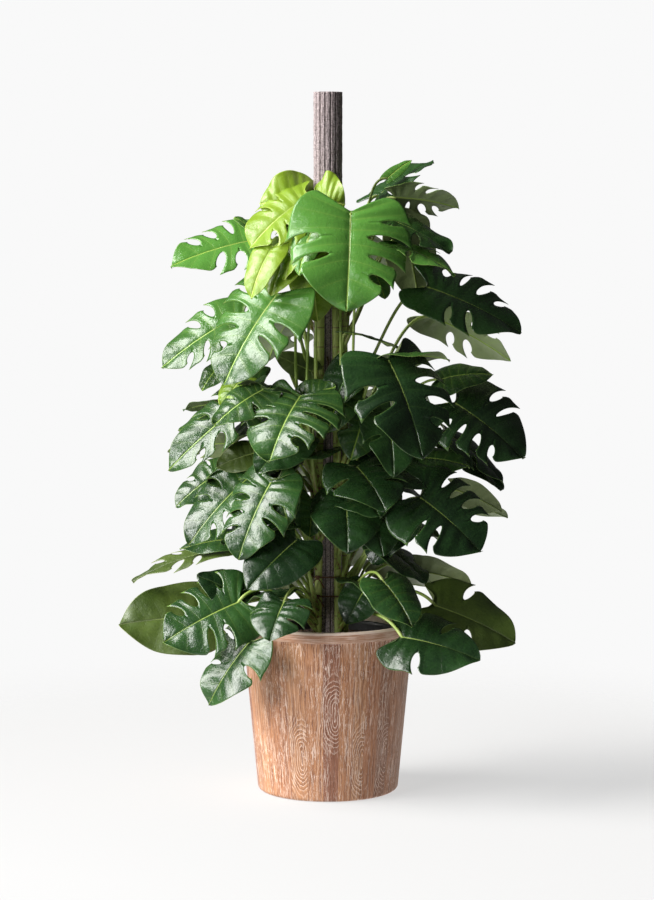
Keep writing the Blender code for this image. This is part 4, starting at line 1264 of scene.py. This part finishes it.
def shade_leaf(index):
    """A dark inner leaf: its bearing steps round the sides and back as its height climbs."""
    rng = np.random.default_rng(SHADE_PLACES + index)
    start, end = SHADE_BEARINGS
    bearing = (start + (end - start) * (index * GOLDEN % 1.0)) % 360
    attach = SHADE_LOW + (SHADE_HIGH - SHADE_LOW) * (index + 0.5) / SHADE_LEAVES
    reach, length = rng.uniform(*SHADE_REACH), rng.uniform(*SHADE_LENGTH)
    height = attach + SHADE_RISE
    base = (bearing, reach, height)
    tip = (bearing + rng.uniform(-14, 14), reach + length * 0.85)
    tip = (*tip, height - length * rng.uniform(0.3, 0.7))
    width, roll = rng.uniform(*SHADE_WIDTH), rng.uniform(-25, 25)
    return Leaf(attach, base, tip, width, roll, 26, 8, -25, 0)


small = [(finish, Leaf(*row)) for finish, rows in SMALL_LEAVES.items() for row in rows]
for number, (finish, leaf) in enumerate(small, 1):
    grow(f"small_leaf_{number:02d}", leaf, finish, SMALL_SEED + number)
# The shade leaves take the dark finish, as painted shade.
for index in range(SHADE_LEAVES):
    grow(f"shade_leaf_{index + 1:02d}", shade_leaf(index), "dark_leaf", SHADE_SEED + index)


# ---- The floor, the lights and the camera ------------------------------------------------------
# A white studio floor that fades into a white surround, a wide soft sun and a panel lamp on the
# left, and a camera with a long lens just below eye height, looking a little down.
WHITE = 0.947
FLOOR_GLOW = 0.590
FLOOR_WHITE = 0.28
FLOOR_RADIUS = 1.9
FLOOR_FADE = (0.9, 1.8)
FLOOR_DROP = 0.0005
KEY_STRENGTH = 5.0
KEY_SPREAD = 38
KEY_FROM = (188, 36)
PANEL_POWER = 85.0
PANEL_SIZE = 1.3
PANEL_AT = (-2.6, -2.4, 1.3)
PANEL_AIM = (0.0, 0.0, 0.7)
FILL_LIT, FILL_SHADE = 0.16, 0.06
KEY_WARM = (1.0, 0.985, 0.96)
CAMERA_LENS = 106.6
CAMERA_SENSOR = 36.0
CAMERA_FAR = 50.0
CAMERA_AT = (-0.002, -5.8, 1.30)
CAMERA_DOWN = 5.43


def studio_floor():
    """A white disc, part glowing so that shadows stay pale, that fades out with distance."""
    turn = np.linspace(0.0, 2 * np.pi, 97)
    rings = np.linspace(0.0, FLOOR_RADIUS, 12)[:, None]
    points = round_axis(rings, turn, 0.0)
    paper = Finish("studio_white", 1.0)
    far = paper.add("ShaderNodeVectorMath", {"operation": "LENGTH"}, _0=place_in(paper)).outputs[1]
    paper.shade(Base_Color=(FLOOR_WHITE,) * 3, Specular_IOR_Level=0.0, Emission_Color=(1.0,) * 3,
                Emission_Strength=FLOOR_GLOW, Alpha=paper.ramp(far, *FLOOR_FADE, 1.0, 0.0))
    mesh = bpy.data.meshes.new("studio_floor")
    mesh.from_pydata(points.reshape(-1, 3).tolist(), [], grid_quads(12, 97).tolist())
    mesh.materials.append(paper.material)
    floor = placed("studio_floor", mesh)
    floor.location.z = -FLOOR_DROP


studio_floor()

world = bpy.data.worlds.new("studio")
bpy.context.scene.world = world
world.use_nodes = True
sky = Nodes(world.node_tree)
sky.tree.nodes.clear()
side = sky.add("ShaderNodeTexCoord").outputs["Generated"]
side = sky.add("ShaderNodeSeparateXYZ", _0=side).outputs[0]
fill = sky.add("ShaderNodeMapRange", _0=side, _1=-0.7, _2=0.7, _3=FILL_LIT, _4=FILL_SHADE).outputs[0]
either = sky.add(
    "ShaderNodeMixShader", _0=sky.add("ShaderNodeLightPath").outputs["Is Camera Ray"],
    _1=sky.add("ShaderNodeBackground", _1=fill).outputs[0],
    _2=sky.add("ShaderNodeBackground", _0=(WHITE,) * 3).outputs[0],
)
sky.add("ShaderNodeOutputWorld", _0=either.outputs[0])

key = bpy.data.lights.new("key", "SUN")
key.energy = KEY_STRENGTH
key.angle = math.radians(KEY_SPREAD)
key.color = KEY_WARM
key_lamp = placed("key", key)
key_lamp.rotation_euler = (math.radians(90 - KEY_FROM[1]), 0.0, math.radians(KEY_FROM[0] + 90))

panel = bpy.data.lights.new("panel", "AREA")
panel.energy = PANEL_POWER
panel.size = PANEL_SIZE
panel_lamp = placed("panel", panel)
panel_lamp.location = PANEL_AT
panel_way = mathutils.Vector(PANEL_AIM) - mathutils.Vector(PANEL_AT)
panel_lamp.rotation_euler = panel_way.to_track_quat("-Z", "Y").to_euler()

camera = bpy.data.cameras.new("portrait")
camera.lens = CAMERA_LENS
camera.sensor_width = CAMERA_SENSOR
camera.clip_end = CAMERA_FAR
view = placed("portrait", camera)
view.location = CAMERA_AT
view.rotation_euler = (math.radians(90 - CAMERA_DOWN), 0.0, 0.0)
bpy.context.scene.camera = view
bpy.context.scene.view_settings.view_transform = "Standard"

bpy.context.view_layer.update()
